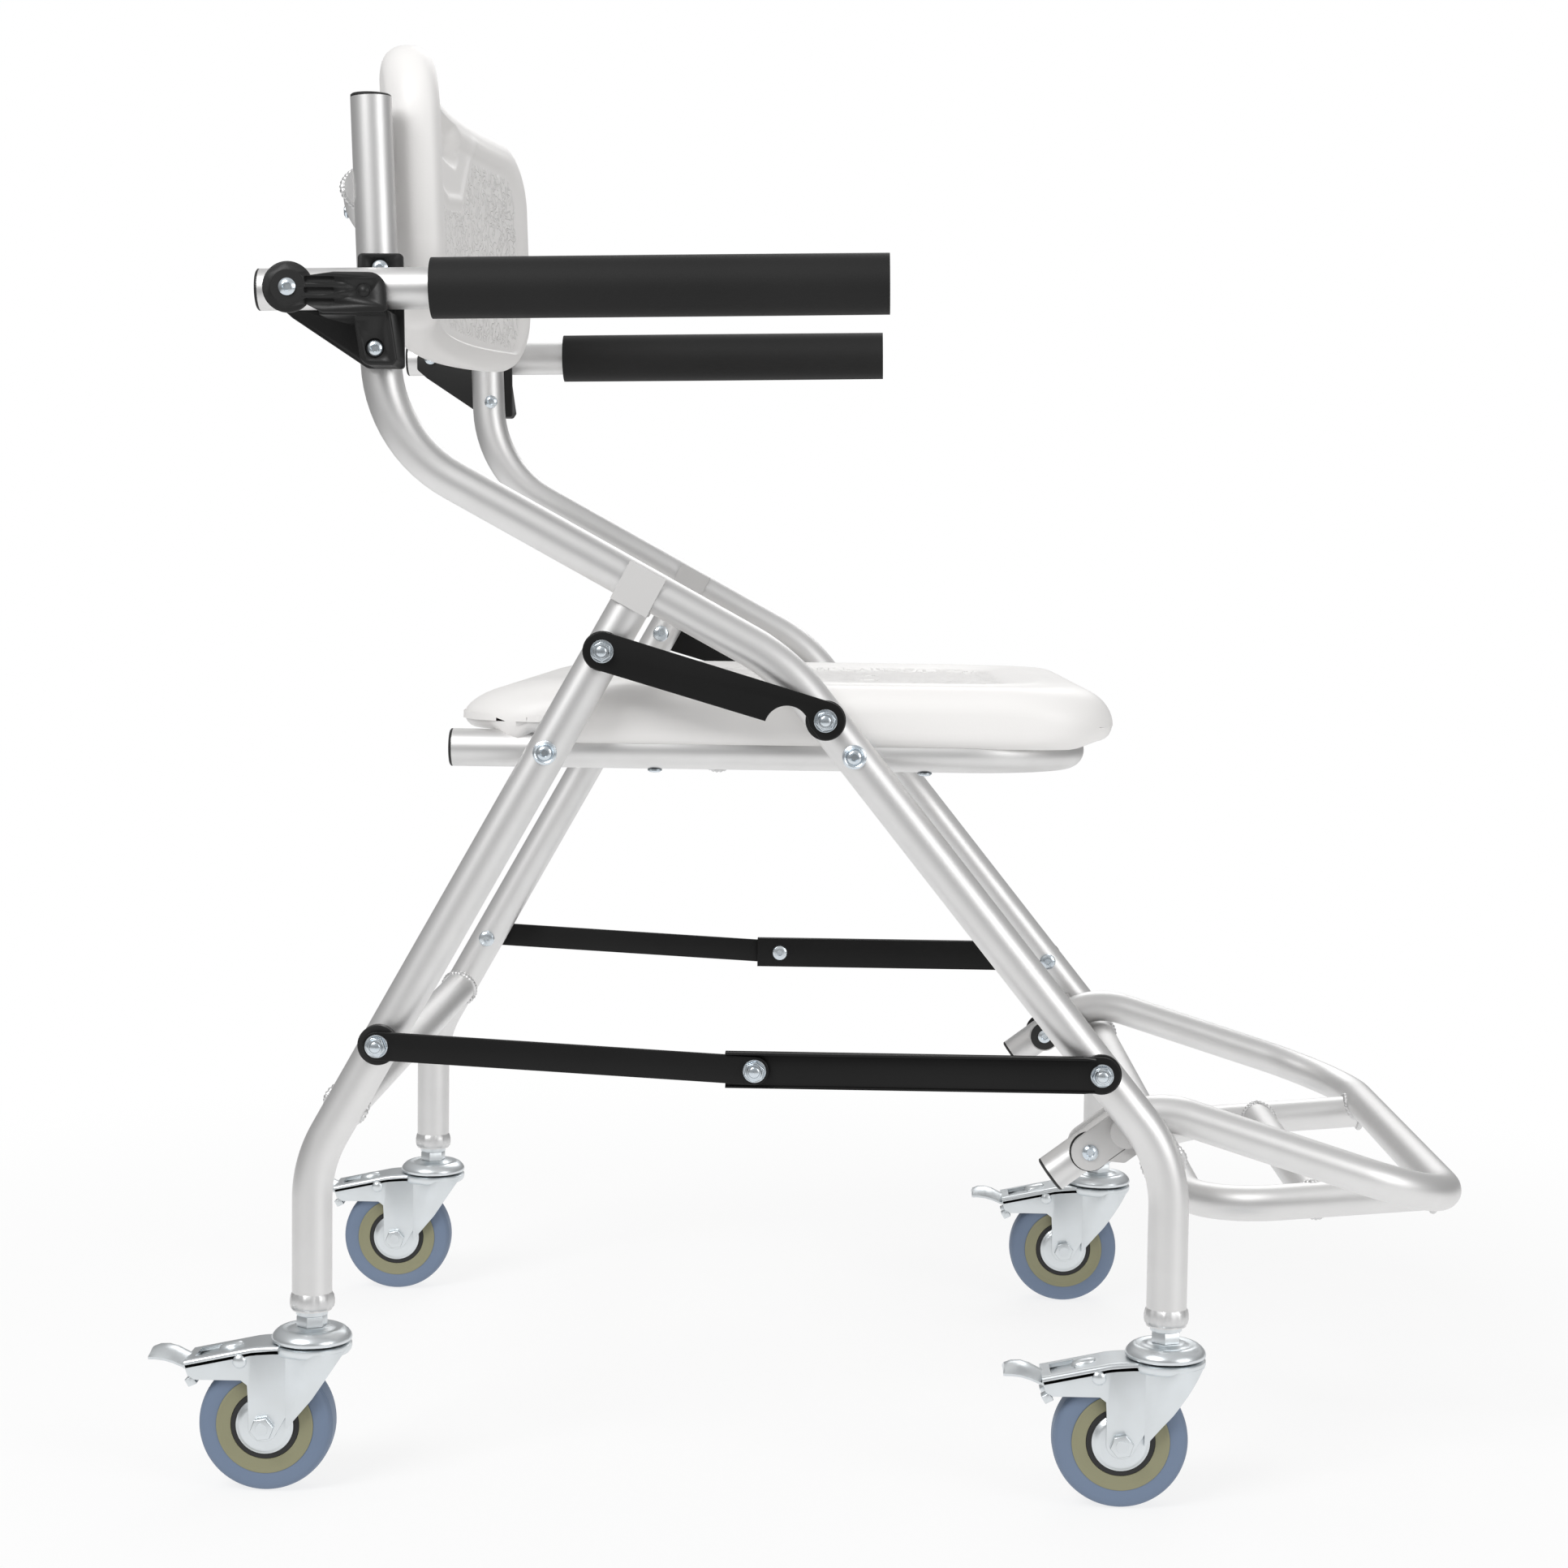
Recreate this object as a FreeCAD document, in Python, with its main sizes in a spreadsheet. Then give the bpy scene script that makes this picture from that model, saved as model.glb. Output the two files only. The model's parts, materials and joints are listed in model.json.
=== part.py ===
import FreeCAD, Part
import Sketcher
import math
import os
import re

# Folding shower and transport chair: four braked casters, two bent side tubes, a crossing
# pair of rear legs, a moulded seat and backrest, flip-up arms and a flip-up footrest.
# Frame: +X forward, +Y to the sitter's left, +Z up. The origin is on the floor under the
# middle of the chair. Units are millimetres and degrees.

Vector = FreeCAD.Vector
doc = FreeCAD.newDocument("transport_chair")
sheet = doc.addObject("Spreadsheet::Sheet", "Dims")

DIMENSIONS = {
    # tubes
    "tube_radius": 11.1, "tube_wall": 1.8, "slim_radius": 10.5, "slim_wall": 1.6,
    "half_track": 229.5, "leg_end_z": 101, "bend_radius": 75, "shoulder_radius": 110,
    # side tube: back pole, sloping run and front leg in one piece
    "pole_top_x": -249.5, "pole_top_z": 764.6, "pole_bend_x": -241.8, "pole_bend_z": 580.5,
    "shoulder_x": -23.4, "shoulder_z": 462.1, "front_leg_x": 192.2, "front_bend_z": 192.7,
    "front_bar_x": 189.5, "front_bar_z": 190.5,
    # rear leg
    "rear_top_x": -107.7, "rear_top_z": 492.2, "rear_leg_x": -280.8, "rear_bend_z": 182.6,
    "rear_bar_x": -262.4, "rear_bar_z": 215.5,
    # saddle that carries the side tube on the rear leg's top
    "saddle_x": -101.4, "saddle_z": 503.5, "saddle_tilt": 28, "saddle_length": 22,
    "saddle_width": 24.2, "saddle_up": 10, "saddle_down": 13,
    # pivots of the folding linkage
    "link_front_x": 0.2, "link_front_z": 432.5, "seat_front_x": 16, "seat_z": 412.8,
    "link_rear_x": -121, "link_rear_z": 468.4, "seat_rear_x": -152.1,
    "brace_rear_x": -241.9, "brace_rear_z": 252.1, "knee_x": -35.8, "knee_z": 242,
    "brace_front_x": 152.8, "brace_front_z": 242,
    # links and braces
    "link_half": 10.5, "link_thick": 3, "link_out": 12.4, "notch_radius": 12.3,
    "notch_back": 18.8, "notch_down": 10.2,
    "rear_brace_half": 7.8, "rear_brace_out": 17.7, "front_brace_half": 10,
    "front_brace_out": 14.4, "lip_height": 5, "lip_thick": 1, "brace_overlap": 16,
    # fasteners
    "bolt_radius": 2.95, "hole_radius": 3, "nut_flats": 10, "nut_height": 6, "zinc_washer": 6,
    "washer_radius": 11, "head_radius": 5.5, "head_height": 3, "play": 0.3,
    "cup_washer": 6.7, "screw_radius": 2,
    # seat
    "seat_tube_y": 200, "seat_tube_rear": -207.5, "seat_tube_front": 137, "seat_corner": 62,
    "seat_bar_x": -60, "seat_panel_rear": -207, "seat_panel_front": 162, "seat_half": 214.3,
    "seat_low": 424.6, "seat_top": 459.5, "skirt_low": 418, "skirt_thick": 3,
    "skirt_rear": -128, "seat_round": 55, "seat_edge": 9,
    # backrest
    "back_x": -235, "back_z": 645.5, "back_high": 157, "back_half": 216, "back_thick": 31,
    "back_sag": 28, "back_tilt": -2.4, "back_round": 45, "back_edge": 9,
    "back_bar_z": 717, "back_bar_x": -252.5, "back_bar_sag": 24,
    # armrests
    "arm_y": 257.2, "arm_pivot_x": -286.4, "arm_pivot_z": 659.1, "arm_rear": -303.5,
    "arm_front": 29, "arm_tilt": 1.1, "pad_radius": 16.4, "pad_front": 31.4,
    "pad_rear_right": -211.9, "pad_rear_left": -193.9,
    "bracket_plate": 3.5, "head_recess": 5.2, "bracket_inner": 240.8, "bracket_outer": 268.6,
    # footrest
    "foot_y": 203, "foot_pivot_x": 149.5, "foot_pivot_z": 194.1, "foot_stub_x": 129.3,
    "foot_stub_z": 178.9, "foot_crest_x": 182.1, "foot_crest_z": 218.7, "crest_radius": 45,
    "foot_front_x": 358.1, "foot_front_z": 163.3, "foot_corner": 60,
    "heel_y": 128, "heel_rear_x": 218, "heel_rear_z": 144.2, "heel_front_x": 357,
    "heel_front_z": 156.6, "heel_corner": 50, "foot_bar_x": 289,
    "clevis_out": 218.2, "clevis_in": 187.8, "clevis_plate": 3, "clevis_round": 10.4,
    "clevis_length": 30, "foot_angle": 37,
    # casters
    "wheel_radius": 37.5, "tread_half": 11, "core_radius": 27, "core_half": 9.2,
    "ring_radius": 19, "guard_radius": 16.2, "caster_trail": 24.5, "axle_radius": 3.95,
    "fork_inner": 12.6, "fork_plate": 2.4, "cup_radius": 22.3, "cup_gap_z": 83.4,
    "pedal_reach": 88, "rivet_back": 37.4, "rivet_z": 74.4,
    # caps
    "cap_lip": 1.6, "cap_depth": 12,
}
for number, (alias, size) in enumerate(DIMENSIONS.items(), start=1):
    sheet.set(f"A{number}", alias)
    sheet.set(f"B{number}", str(size))
    sheet.setAlias(f"B{number}", alias)
doc.recompute()


class Sizes:
    """Read-only view of the sheet, for shapes that are worked out in this script."""

    def __getattr__(self, alias):
        return float(sheet.get(alias))


dim = Sizes()
NAMES = re.compile(r"\b[a-z_]+\b")
parts = {}


def bound(expression):
    """Turn words that are sheet aliases into references to the sheet."""
    return NAMES.sub(lambda m: "Dims." + m[0] if m[0] in DIMENSIONS else m[0], str(expression))


def make(kind, **properties):
    """Add one document object with its properties bound to expressions."""
    obj = doc.addObject(kind, kind.split("::")[1])
    for name, expression in properties.items():
        obj.setExpression(name.replace("__", "."), bound(expression))
    return obj


def place(obj, x=0, y=0, z=0):
    for axis, expression in zip("xyz", (x, y, z)):
        obj.setExpression(f"Placement.Base.{axis}", bound(expression))
    return obj


def turn(obj, axis, angle):
    obj.Placement.Rotation = FreeCAD.Rotation(Vector(*axis), angle)
    return obj


def rod(radius, start, length, x, z):
    """Cylinder along +Y, from y = start."""
    return place(turn(make("Part::Cylinder", Radius=radius, Height=length), (1, 0, 0), -90),
                 x, start, z)


def post(radius, height, x, y, z):
    """Cylinder along +Z."""
    return place(make("Part::Cylinder", Radius=radius, Height=height), x, y, z)


def block(x, y, z, length, width, height):
    return place(make("Part::Box", Length=length, Width=width, Height=height), x, y, z)


def hexagon(flats, start, height, x, z):
    """Hexagonal prism along +Y."""
    prism = make("Part::Prism", Circumradius=f"({flats}) / sqrt(3)", Height=height)
    return place(turn(prism, (1, 0, 0), -90), x, start, z)


def fuse(*shapes):
    joined = doc.addObject("Part::MultiFuse", "Fuse")
    joined.Shapes = list(shapes)
    joined.Refine = True
    return joined


def cut(base, *tools):
    for tool in tools:
        result = doc.addObject("Part::Cut", "Cut")
        result.Base, result.Tool = base, tool
        base = result
    return base


def group(*shapes):
    """Separate solids in one node."""
    together = doc.addObject("Part::Compound", "Group")
    together.Links = list(shapes)
    return together


def mirror(source):
    """Copy on the other side of the chair."""
    copy = doc.addObject("Part::Mirroring", "Mirror")
    copy.Source, copy.Normal = source, Vector(0, 1, 0)
    return copy


def both(*shapes):
    return group(*shapes, *[mirror(shape) for shape in shapes])


def keep(label, obj):
    """Name the finished solid of one node; an earlier stage of it gives up the name."""
    if label in parts:
        parts[label].Label = f"{label}_stage"
    obj.Label = label
    parts[label] = obj
    return obj


def path(points, radii):
    """Wire of straight runs joined by tangent arcs; radii belong to the inner points."""
    points = [Vector(*p) for p in points]
    edges, start = [], points[0]
    for before, corner, after, radius in zip(points, points[1:], points[2:], radii):
        inward = (before - corner).normalize()
        outward = (after - corner).normalize()
        half = inward.getAngle(outward) / 2
        reach = radius / math.tan(half)
        middle = (inward + outward).normalize() * (radius / math.sin(half) - radius)
        first, last = corner + inward * reach, corner + outward * reach
        edges += [Part.LineSegment(start, first).toShape(),
                  Part.Arc(first, corner + middle, last).toShape()]
        start = last
    edges.append(Part.LineSegment(start, points[-1]).toShape())
    return Part.Wire(edges)


def pipe(points, radii, radius):
    """Solid round bar swept along a path, its radius bound to the sheet."""
    wire = path(points, radii)
    spine = doc.addObject("Part::Feature", "Spine")
    spine.Shape = wire
    circle = make("Part::Circle", Radius=radius)
    run = wire.Edges[0].tangentAt(wire.Edges[0].FirstParameter)
    circle.Placement = FreeCAD.Placement(
        wire.Edges[0].Vertexes[0].Point, FreeCAD.Rotation(Vector(0, 0, 1), run))
    sweep = doc.addObject("Part::Sweep", "Sweep")
    sweep.Sections, sweep.Solid, sweep.Frenet = [circle], True, False
    sweep.Spine = (spine, [f"Edge{n + 1}" for n in range(len(wire.Edges))])
    return sweep


def tube(points, radii, radius, wall):
    return cut(pipe(points, radii, radius), pipe(points, radii, f"{radius} - {wall}"))


def flat_bar(x1, z1, x2, z2, half, y, thick):
    """Bar with round ends about two pivots, lying in a plane of constant y."""
    length = f"sqrt(({x2} - ({x1}))^2 + ({z2} - ({z1}))^2)"
    angle = math.degrees(math.atan2(getattr(dim, z2) - getattr(dim, z1),
                                    getattr(dim, x2) - getattr(dim, x1)))
    middle = place(make("Part::Box", Length=length, Width=thick, Height=f"2 * {half}"),
                   0, 0, f"-{half}")
    ends = [rod(half, 0, thick, 0, 0), rod(half, 0, thick, length, 0)]
    bar = fuse(middle, *ends)
    bar.Placement.Rotation = FreeCAD.Rotation(Vector(0, 1, 0), -angle)
    return place(bar, x1, y, z1)


def sketch_plate(points, y, thick, rounds=None):
    """PartDesign plate: a closed outline in X and Z, padded towards -Y from y.

    rounds gives, for each corner radius, the numbers of the outline's points that have it.
    """
    body = doc.addObject("PartDesign::Body", "Plate")
    sketch = body.newObject("Sketcher::SketchObject", "Outline")
    plane = [f for f in body.Origin.OriginFeatures if f.Role == "XZ_Plane"][0]
    sketch.AttachmentSupport = (plane, [""])
    sketch.MapMode = "FlatFace"
    count = len(points)
    for n in range(count):
        start, end = points[n], points[(n + 1) % count]
        sketch.addGeometry(Part.LineSegment(Vector(*start, 0), Vector(*end, 0)), False)
    for n, (x, z) in enumerate(points):
        sketch.addConstraint(Sketcher.Constraint("Coincident", n, 2, (n + 1) % count, 1))
        sketch.addConstraint(Sketcher.Constraint("DistanceX", -1, 1, n, 1, x))
        sketch.addConstraint(Sketcher.Constraint("DistanceY", -1, 1, n, 1, z))
    pad = body.newObject("PartDesign::Pad", "Pad")
    pad.Profile = sketch
    pad.setExpression("Length", bound(thick))
    doc.recompute()
    for radius, numbers in (rounds or {}).items():
        base = body.Tip
        corners = [points[n] for n in numbers]
        names = [f"Edge{n}" for n, edge in enumerate(base.Shape.Edges, start=1)
                 if crosswise(edge) and at_corner(edge, corners)]
        fillet = body.newObject("PartDesign::Fillet", "Round")
        fillet.Base = (base, names)
        fillet.Radius = radius
        doc.recompute()
    return place(body, 0, y, 0)


def crosswise(edge):
    """True for a straight edge along Y."""
    first, last = edge.Vertexes[0].Point, edge.Vertexes[-1].Point
    return abs((last - first).y) > 0.1 and abs(abs((last - first).y) - edge.Length) < 1e-6


def at_corner(edge, corners):
    point = edge.Vertexes[0].Point
    return any(math.hypot(point.x - x, point.z - z) < 1e-3 for x, z in corners)


def bolt(start, length, x, z, radius="bolt_radius"):
    return rod(radius, start, length, x, z)


def nut(start, x, z):
    """Lock nut on a washer, its outer end at y = start, with a round collar."""
    return fuse(hexagon("nut_flats", f"{start} + 1.4", "nut_height - 2.6", x, z),
                rod("nut_flats / 2 - 0.4", start, "nut_height", x, z),
                rod("zinc_washer", f"{start} + nut_height - 1.2", 1.2, x, z))


def head(start, x, z):
    """Low round bolt head between y = start and y = start + head_height."""
    return rod("head_radius", start, "head_height", x, z)


def turned(profile, x=0, y=0, z=0):
    """PartDesign revolution of a closed (radius, height) outline about Z."""
    body = doc.addObject("PartDesign::Body", "Turned")
    sketch = body.newObject("Sketcher::SketchObject", "Profile")
    plane = [f for f in body.Origin.OriginFeatures if f.Role == "XZ_Plane"][0]
    sketch.AttachmentSupport = (plane, [""])
    sketch.MapMode = "FlatFace"
    count = len(profile)
    for n in range(count):
        start, end = profile[n], profile[(n + 1) % count]
        sketch.addGeometry(Part.LineSegment(Vector(*start, 0), Vector(*end, 0)), False)
    for n, (across, up) in enumerate(profile):
        sketch.addConstraint(Sketcher.Constraint("Coincident", n, 2, (n + 1) % count, 1))
        sketch.addConstraint(Sketcher.Constraint("DistanceX", -1, 1, n, 1, across))
        sketch.addConstraint(Sketcher.Constraint("DistanceY", -1, 1, n, 1, up))
    revolution = body.newObject("PartDesign::Revolution", "Revolution")
    revolution.Profile = sketch
    revolution.ReferenceAxis = (sketch, ["V_Axis"])
    revolution.Angle = 360
    doc.recompute()
    return place(body, x, y, z)


def rounded(base, radius, chosen):
    """Part fillet of the edges that chosen picks."""
    doc.recompute()
    fillet = doc.addObject("Part::Fillet", "Rounded")
    fillet.Base = base
    fillet.Edges = [(n, radius, radius) for n, edge in enumerate(base.Shape.Edges, start=1)
                    if chosen(edge)]
    return fillet


def near(out):
    """y of a plane that lies this far outboard of the right side's tube line."""
    return f"-(half_track + {out})"


# Paths of the right side tube and the right rear leg
rear_path = [(dim.rear_top_x, -dim.half_track, dim.rear_top_z),
             (dim.rear_leg_x, -dim.half_track, dim.rear_bend_z),
             (dim.rear_leg_x, -dim.half_track, dim.leg_end_z)]
side_path = [(dim.pole_top_x, -dim.half_track, dim.pole_top_z),
             (dim.pole_bend_x, -dim.half_track, dim.pole_bend_z),
             (dim.shoulder_x, -dim.half_track, dim.shoulder_z),
             (dim.front_leg_x, -dim.half_track, dim.front_bend_z),
             (dim.front_leg_x, -dim.half_track, dim.leg_end_z)]
rear_radii = [dim.bend_radius]
side_radii = [dim.bend_radius, dim.shoulder_radius, dim.bend_radius]
rear_pivots = [("link_rear_x", "link_rear_z"), ("seat_rear_x", "seat_z"),
               ("brace_rear_x", "brace_rear_z")]
front_pivots = [("link_front_x", "link_front_z"), ("seat_front_x", "seat_z"),
                ("brace_front_x", "brace_front_z")]


def side(points, radii, pivots):
    """Side tube with cross holes at its pivots."""
    holes = [rod("hole_radius", near(20), 40, x, z) for x, z in pivots]
    return cut(tube(points, radii, "tube_radius", "tube_wall"), *holes)


def crossbar(x, z, points, radii):
    """Tube between the two side tubes, its ends shaped to fit round them."""
    bar = cut(rod("tube_radius", "-half_track", "2 * half_track", x, z),
              rod("tube_radius - tube_wall", "-half_track", "2 * half_track", x, z))
    leg = pipe(points, radii, "tube_radius")
    return cut(bar, leg, mirror(leg))


# Rear legs
rear_leg = side(rear_path, rear_radii, rear_pivots)
keep("rear_leg_right", rear_leg)
keep("rear_leg_left", mirror(rear_leg))
keep("rear_leg_crossbar", crossbar("rear_bar_x", "rear_bar_z", rear_path, rear_radii))

saddle_block = fuse(
    block(0, 0, 0, "saddle_length", "saddle_width", "saddle_up + saddle_down"),
    post("tube_radius - tube_wall - 0.1", 14, "saddle_length / 2", "saddle_width / 2", -13.9))
saddle_block.Placement = FreeCAD.Placement(
    Vector(dim.saddle_x, -dim.half_track, dim.saddle_z),
    FreeCAD.Rotation(Vector(0, 1, 0), dim.saddle_tilt)).multiply(FreeCAD.Placement(
        Vector(-dim.saddle_length / 2, -dim.saddle_width / 2, -dim.saddle_down),
        FreeCAD.Rotation()))
saddle = cut(saddle_block, pipe(side_path, side_radii, "tube_radius + play + 0.05"),
             rear_leg)
keep("leg_saddles", both(saddle))


def stem(x):
    """Caster stem: shank in the leg, collar, hexagon and the fixed upper race."""
    inner = dim.tube_radius - dim.tube_wall - 0.1
    top, low, cup = dim.leg_end_z, dim.cup_gap_z + 0.4, dim.cup_radius
    profile = [(0, top + 30), (inner, top + 30), (inner, top), (8.8, top), (8.8, top - 3),
               (7.2, top - 3), (7.2, top - 9), (13, top - 9.6), (19, top - 10.6),
               (cup - 0.8, top - 12.4), (cup, top - 14.4), (cup - 0.4, low), (4, low),
               (4, low - 4), (0, low - 4)]
    hexagonal = place(make("Part::Prism", Circumradius="15 / sqrt(3)", Height=6.2),
                      x, "-half_track", "leg_end_z - 9.2")
    return fuse(turned(profile, x, "-half_track"), hexagonal)


def leg_head(x, z):
    """Bolt head and shank in the leg of a pivot whose nut sits on the link."""
    shank = bolt(near("tube_radius"), "2 * tube_radius", x, z)
    return fuse(shank, rod("head_radius", near("-tube_radius"), "head_height", x, z))


keep("rear_leg_hardware", both(stem("rear_leg_x"), leg_head(*rear_pivots[0]),
                               leg_head(*rear_pivots[2])))

# Seat frame
y_seat = dim.seat_tube_y
seat_path = [(dim.seat_tube_rear, -y_seat, dim.seat_z), (dim.seat_tube_front, -y_seat, dim.seat_z),
             (dim.seat_tube_front, y_seat, dim.seat_z), (dim.seat_tube_rear, y_seat, dim.seat_z)]
seat_loop = tube(seat_path, [dim.seat_corner] * 2, "slim_radius", "slim_wall")
seat_holes = [rod("hole_radius", "-(seat_tube_y + 20)", "2 * (seat_tube_y + 20)", x, "seat_z")
              for x in ("seat_rear_x", "seat_front_x")]
seat_bar = cut(rod("slim_radius", "-seat_tube_y", "2 * seat_tube_y", "seat_bar_x", "seat_z"),
               rod("slim_radius - slim_wall", "-seat_tube_y", "2 * seat_tube_y", "seat_bar_x",
                   "seat_z"),
               pipe(seat_path, [dim.seat_corner] * 2, "slim_radius"))
keep("seat_frame_tube", cut(seat_loop, *seat_holes))
keep("seat_crossbar", seat_bar)


def cap(outer, inner, start, z, y):
    """Plastic plug in a tube end that faces -X: a lip outside and a shank inside."""
    lip = turn(make("Part::Cylinder", Radius=outer, Height="cap_lip"), (0, 1, 0), 90)
    shank = turn(make("Part::Cylinder", Radius=inner, Height="cap_depth"), (0, 1, 0), 90)
    return fuse(place(lip, f"{start} - cap_lip", y, z), place(shank, start, y, z))


keep("seat_tube_caps", both(cap("slim_radius", "slim_radius - slim_wall - 0.05",
                                "seat_tube_rear", "seat_z", "-seat_tube_y")))

seat_body = block("seat_panel_rear", "-seat_half", "seat_low",
                  "seat_panel_front - seat_panel_rear", "2 * seat_half", "seat_top - seat_low")
seat_body = rounded(seat_body, dim.seat_round, lambda e: abs(e.tangentAt(0).z) > 0.99)
seat_body = rounded(seat_body, dim.seat_edge,
                    lambda e: e.BoundBox.ZMin > dim.seat_top - 0.01)
skirt = block("skirt_rear", "-seat_half", "skirt_low",
              "seat_panel_front - seat_round - skirt_rear", "skirt_thick",
              "seat_low - skirt_low + 1")
relief = [rod(10.5, "-(seat_half + 1)", "2 * (seat_half + 1)", x, "seat_z")
          for x in ("seat_rear_x", "seat_front_x")]
keep("seat_panel", cut(fuse(seat_body, skirt, mirror(skirt)), *relief))


def seat_pivot(x):
    """Pivot bolt with its cup washer outside, its spacer and its inner head."""
    outer = near("tube_radius + play + 2.4")
    inside = "-(seat_tube_y - slim_radius)"
    shank = rod("bolt_radius", outer, f"{inside} - ({outer})", x, "seat_z")
    washer = rod("cup_washer", near("tube_radius + play + 1.2"), 1.2, x, "seat_z")
    button = rod(4, outer, 1.6, x, "seat_z")
    spacer_start = near("-(tube_radius + play)")
    spacer = rod(8, spacer_start, f"-(seat_tube_y + slim_radius) - ({spacer_start})", x, "seat_z")
    return fuse(shank, washer, button, spacer,
                rod("head_radius", inside, "head_height", x, "seat_z"))


def underside_screw(x, y):
    """Screw that holds the seat panel to its frame from below."""
    shank = post("screw_radius", "2 * slim_radius + 6", x, y, "seat_z - slim_radius")
    return fuse(shank, post(4, 2.2, x, y, "seat_z - slim_radius - 2.2"))


seat_screws = [(x, "-seat_tube_y") for x in (-95, 55)]
keep("seat_bolts", both(seat_pivot("seat_rear_x"), seat_pivot("seat_front_x"),
                        *[underside_screw(x, y) for x, y in seat_screws]))
for label in ("seat_frame_tube", "seat_panel"):
    shape = parts[label]
    holes = [post("screw_radius", "2 * slim_radius + 6.1", x, y, "seat_z - slim_radius - 0.05")
             for x, y in seat_screws]
    keep(label, cut(shape, *holes, *[mirror(hole) for hole in holes]))

# Front frame: two side tubes, crossbars and what is bolted to them
side_tube = side(side_path, side_radii, front_pivots)
keep("side_tube_right", side_tube)
keep("side_tube_left", mirror(side_tube))
keep("front_leg_crossbar", crossbar("front_bar_x", "front_bar_z", side_path, side_radii))
keep("front_caster_stems", both(stem("front_leg_x")))


def bow(x, z, half, sag, radius):
    """Round bar from side to side whose middle bows back by sag."""
    points = [Vector(x, -half, z), Vector(x - sag, 0, z), Vector(x, half, z)]
    spine = doc.addObject("Part::Feature", "Bow")
    spine.Shape = Part.Wire([Part.Arc(*points).toShape()])
    circle = make("Part::Circle", Radius=radius)
    edge = spine.Shape.Edges[0]
    circle.Placement = FreeCAD.Placement(points[0], FreeCAD.Rotation(
        Vector(0, 0, 1), edge.tangentAt(edge.FirstParameter)))
    sweep = doc.addObject("Part::Sweep", "Sweep")
    sweep.Sections, sweep.Solid, sweep.Frenet = [circle], True, False
    sweep.Spine = (spine, ["Edge1"])
    return sweep


back_bar = [bow(dim.back_bar_x, dim.back_bar_z, dim.half_track, dim.back_bar_sag, radius)
            for radius in ("tube_radius", "tube_radius - tube_wall")]
side_solid = pipe(side_path, side_radii, "tube_radius")
keep("back_crossbar", cut(cut(*back_bar), side_solid, mirror(side_solid)))


def backrest():
    """Curved panel: the space between two upright cylinders, cut to a rounded rectangle."""
    half, sag, thick = dim.back_half, dim.back_sag, dim.back_thick
    radius = (half ** 2 + sag ** 2) / (2 * sag)
    rings = [post(r, "back_high", radius - sag, 0, 0) for r in (radius + thick, radius)]
    window = block(-(sag + thick + 5), "-back_half", 0, sag + thick + 5, "2 * back_half",
                   "back_high")
    window = rounded(window, dim.back_round, lambda e: abs(e.tangentAt(0).x) > 0.99)
    common = doc.addObject("Part::Common", "Panel")
    common.Base, common.Tool = cut(*rings), window
    return common


panel = backrest()
panel.Placement = FreeCAD.Placement(Vector(dim.back_x + dim.back_sag, 0, dim.back_z),
                                    FreeCAD.Rotation(Vector(0, 1, 0), dim.back_tilt))
panel = cut(panel, bow(dim.back_bar_x, dim.back_bar_z, dim.half_track, dim.back_bar_sag,
                       "tube_radius + play"))
keep("backrest_panel", panel)
pole_cap = fuse(post("tube_radius", "cap_lip", 0, 0, 0),
                post("tube_radius - tube_wall - 0.05", "cap_depth", 0, 0, "-cap_depth"))
pole_lean = math.degrees(math.atan2(dim.pole_top_x - dim.pole_bend_x,
                                    dim.pole_top_z - dim.pole_bend_z))
pole_cap.Placement = FreeCAD.Placement(Vector(dim.pole_top_x, -dim.half_track, dim.pole_top_z),
                                       FreeCAD.Rotation(Vector(0, 1, 0), pole_lean))
keep("back_tube_caps", both(pole_cap))

# Arm brackets, bolted to the back poles
UPPER_BOLT, LOWER_BOLT = (-242, 672.1), (-240.8, 627.8)
UPPER_SEAT, LOWER_SEAT = 243, 252
inner_outline = [(-254, 680), (-229.6, 680), (-228.6, 618.6), (-247.5, 618.6), (-288, 646),
                 (-298, 651), (-298, 667), (-254, 667)]
outer_outline = [(-280, 667.3), (-236, 667.3), (-231.5, 662), (-231.5, 646), (-228.6, 618.6),
                 (-247.5, 618.6), (-252, 624), (-254, 645.8), (-288, 645.8)]
inner_plate = sketch_plate(inner_outline, "-bracket_inner", "bracket_plate",
                           {2.5: [0, 1, 2], 5: [3, 5, 6]})
outer_plate = sketch_plate(outer_outline, "-bracket_outer", "bracket_plate",
                           {3: [1, 2, 4, 5, 6]})
grip_block = block(-252.5, "-(bracket_outer + bracket_plate)", 619.5, 22.5,
                   "bracket_outer + bracket_plate - bracket_inner", 28.1)
floor_web = block(-265, "-bracket_outer", 644.6, 34, "bracket_outer - bracket_inner", 3)
pivot_head = rod(13.5, "-(bracket_outer + bracket_plate)", "bracket_plate", "arm_pivot_x",
                 "arm_pivot_z")
bracket = fuse(inner_plate, outer_plate, grip_block, floor_web, pivot_head)
slots = [block(-278, "-(bracket_outer + bracket_plate + 1)", z, 17, 3.3, 2.6)
         for z in (649.8, 655.6, 661.4)]
bracket = cut(bracket, *slots,
              rod("hole_radius", -280, 60, *UPPER_BOLT), rod("hole_radius", -280, 60, *LOWER_BOLT),
              rod("hole_radius", -280, 60, "arm_pivot_x", "arm_pivot_z"),
              rod("head_recess", -280, 280 - LOWER_SEAT, *LOWER_BOLT),
              rod("head_recess", -280, 280 - UPPER_SEAT, *UPPER_BOLT))
keep("arm_bracket_right", bracket)
keep("arm_bracket_left", mirror(bracket))

for label, flip in (("side_tube_right", False), ("side_tube_left", True)):
    holes = [rod("hole_radius", near(20), 40, *where) for where in (UPPER_BOLT, LOWER_BOLT)]
    keep(label, cut(parts[label], *[mirror(hole) if flip else hole for hole in holes]))


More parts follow.
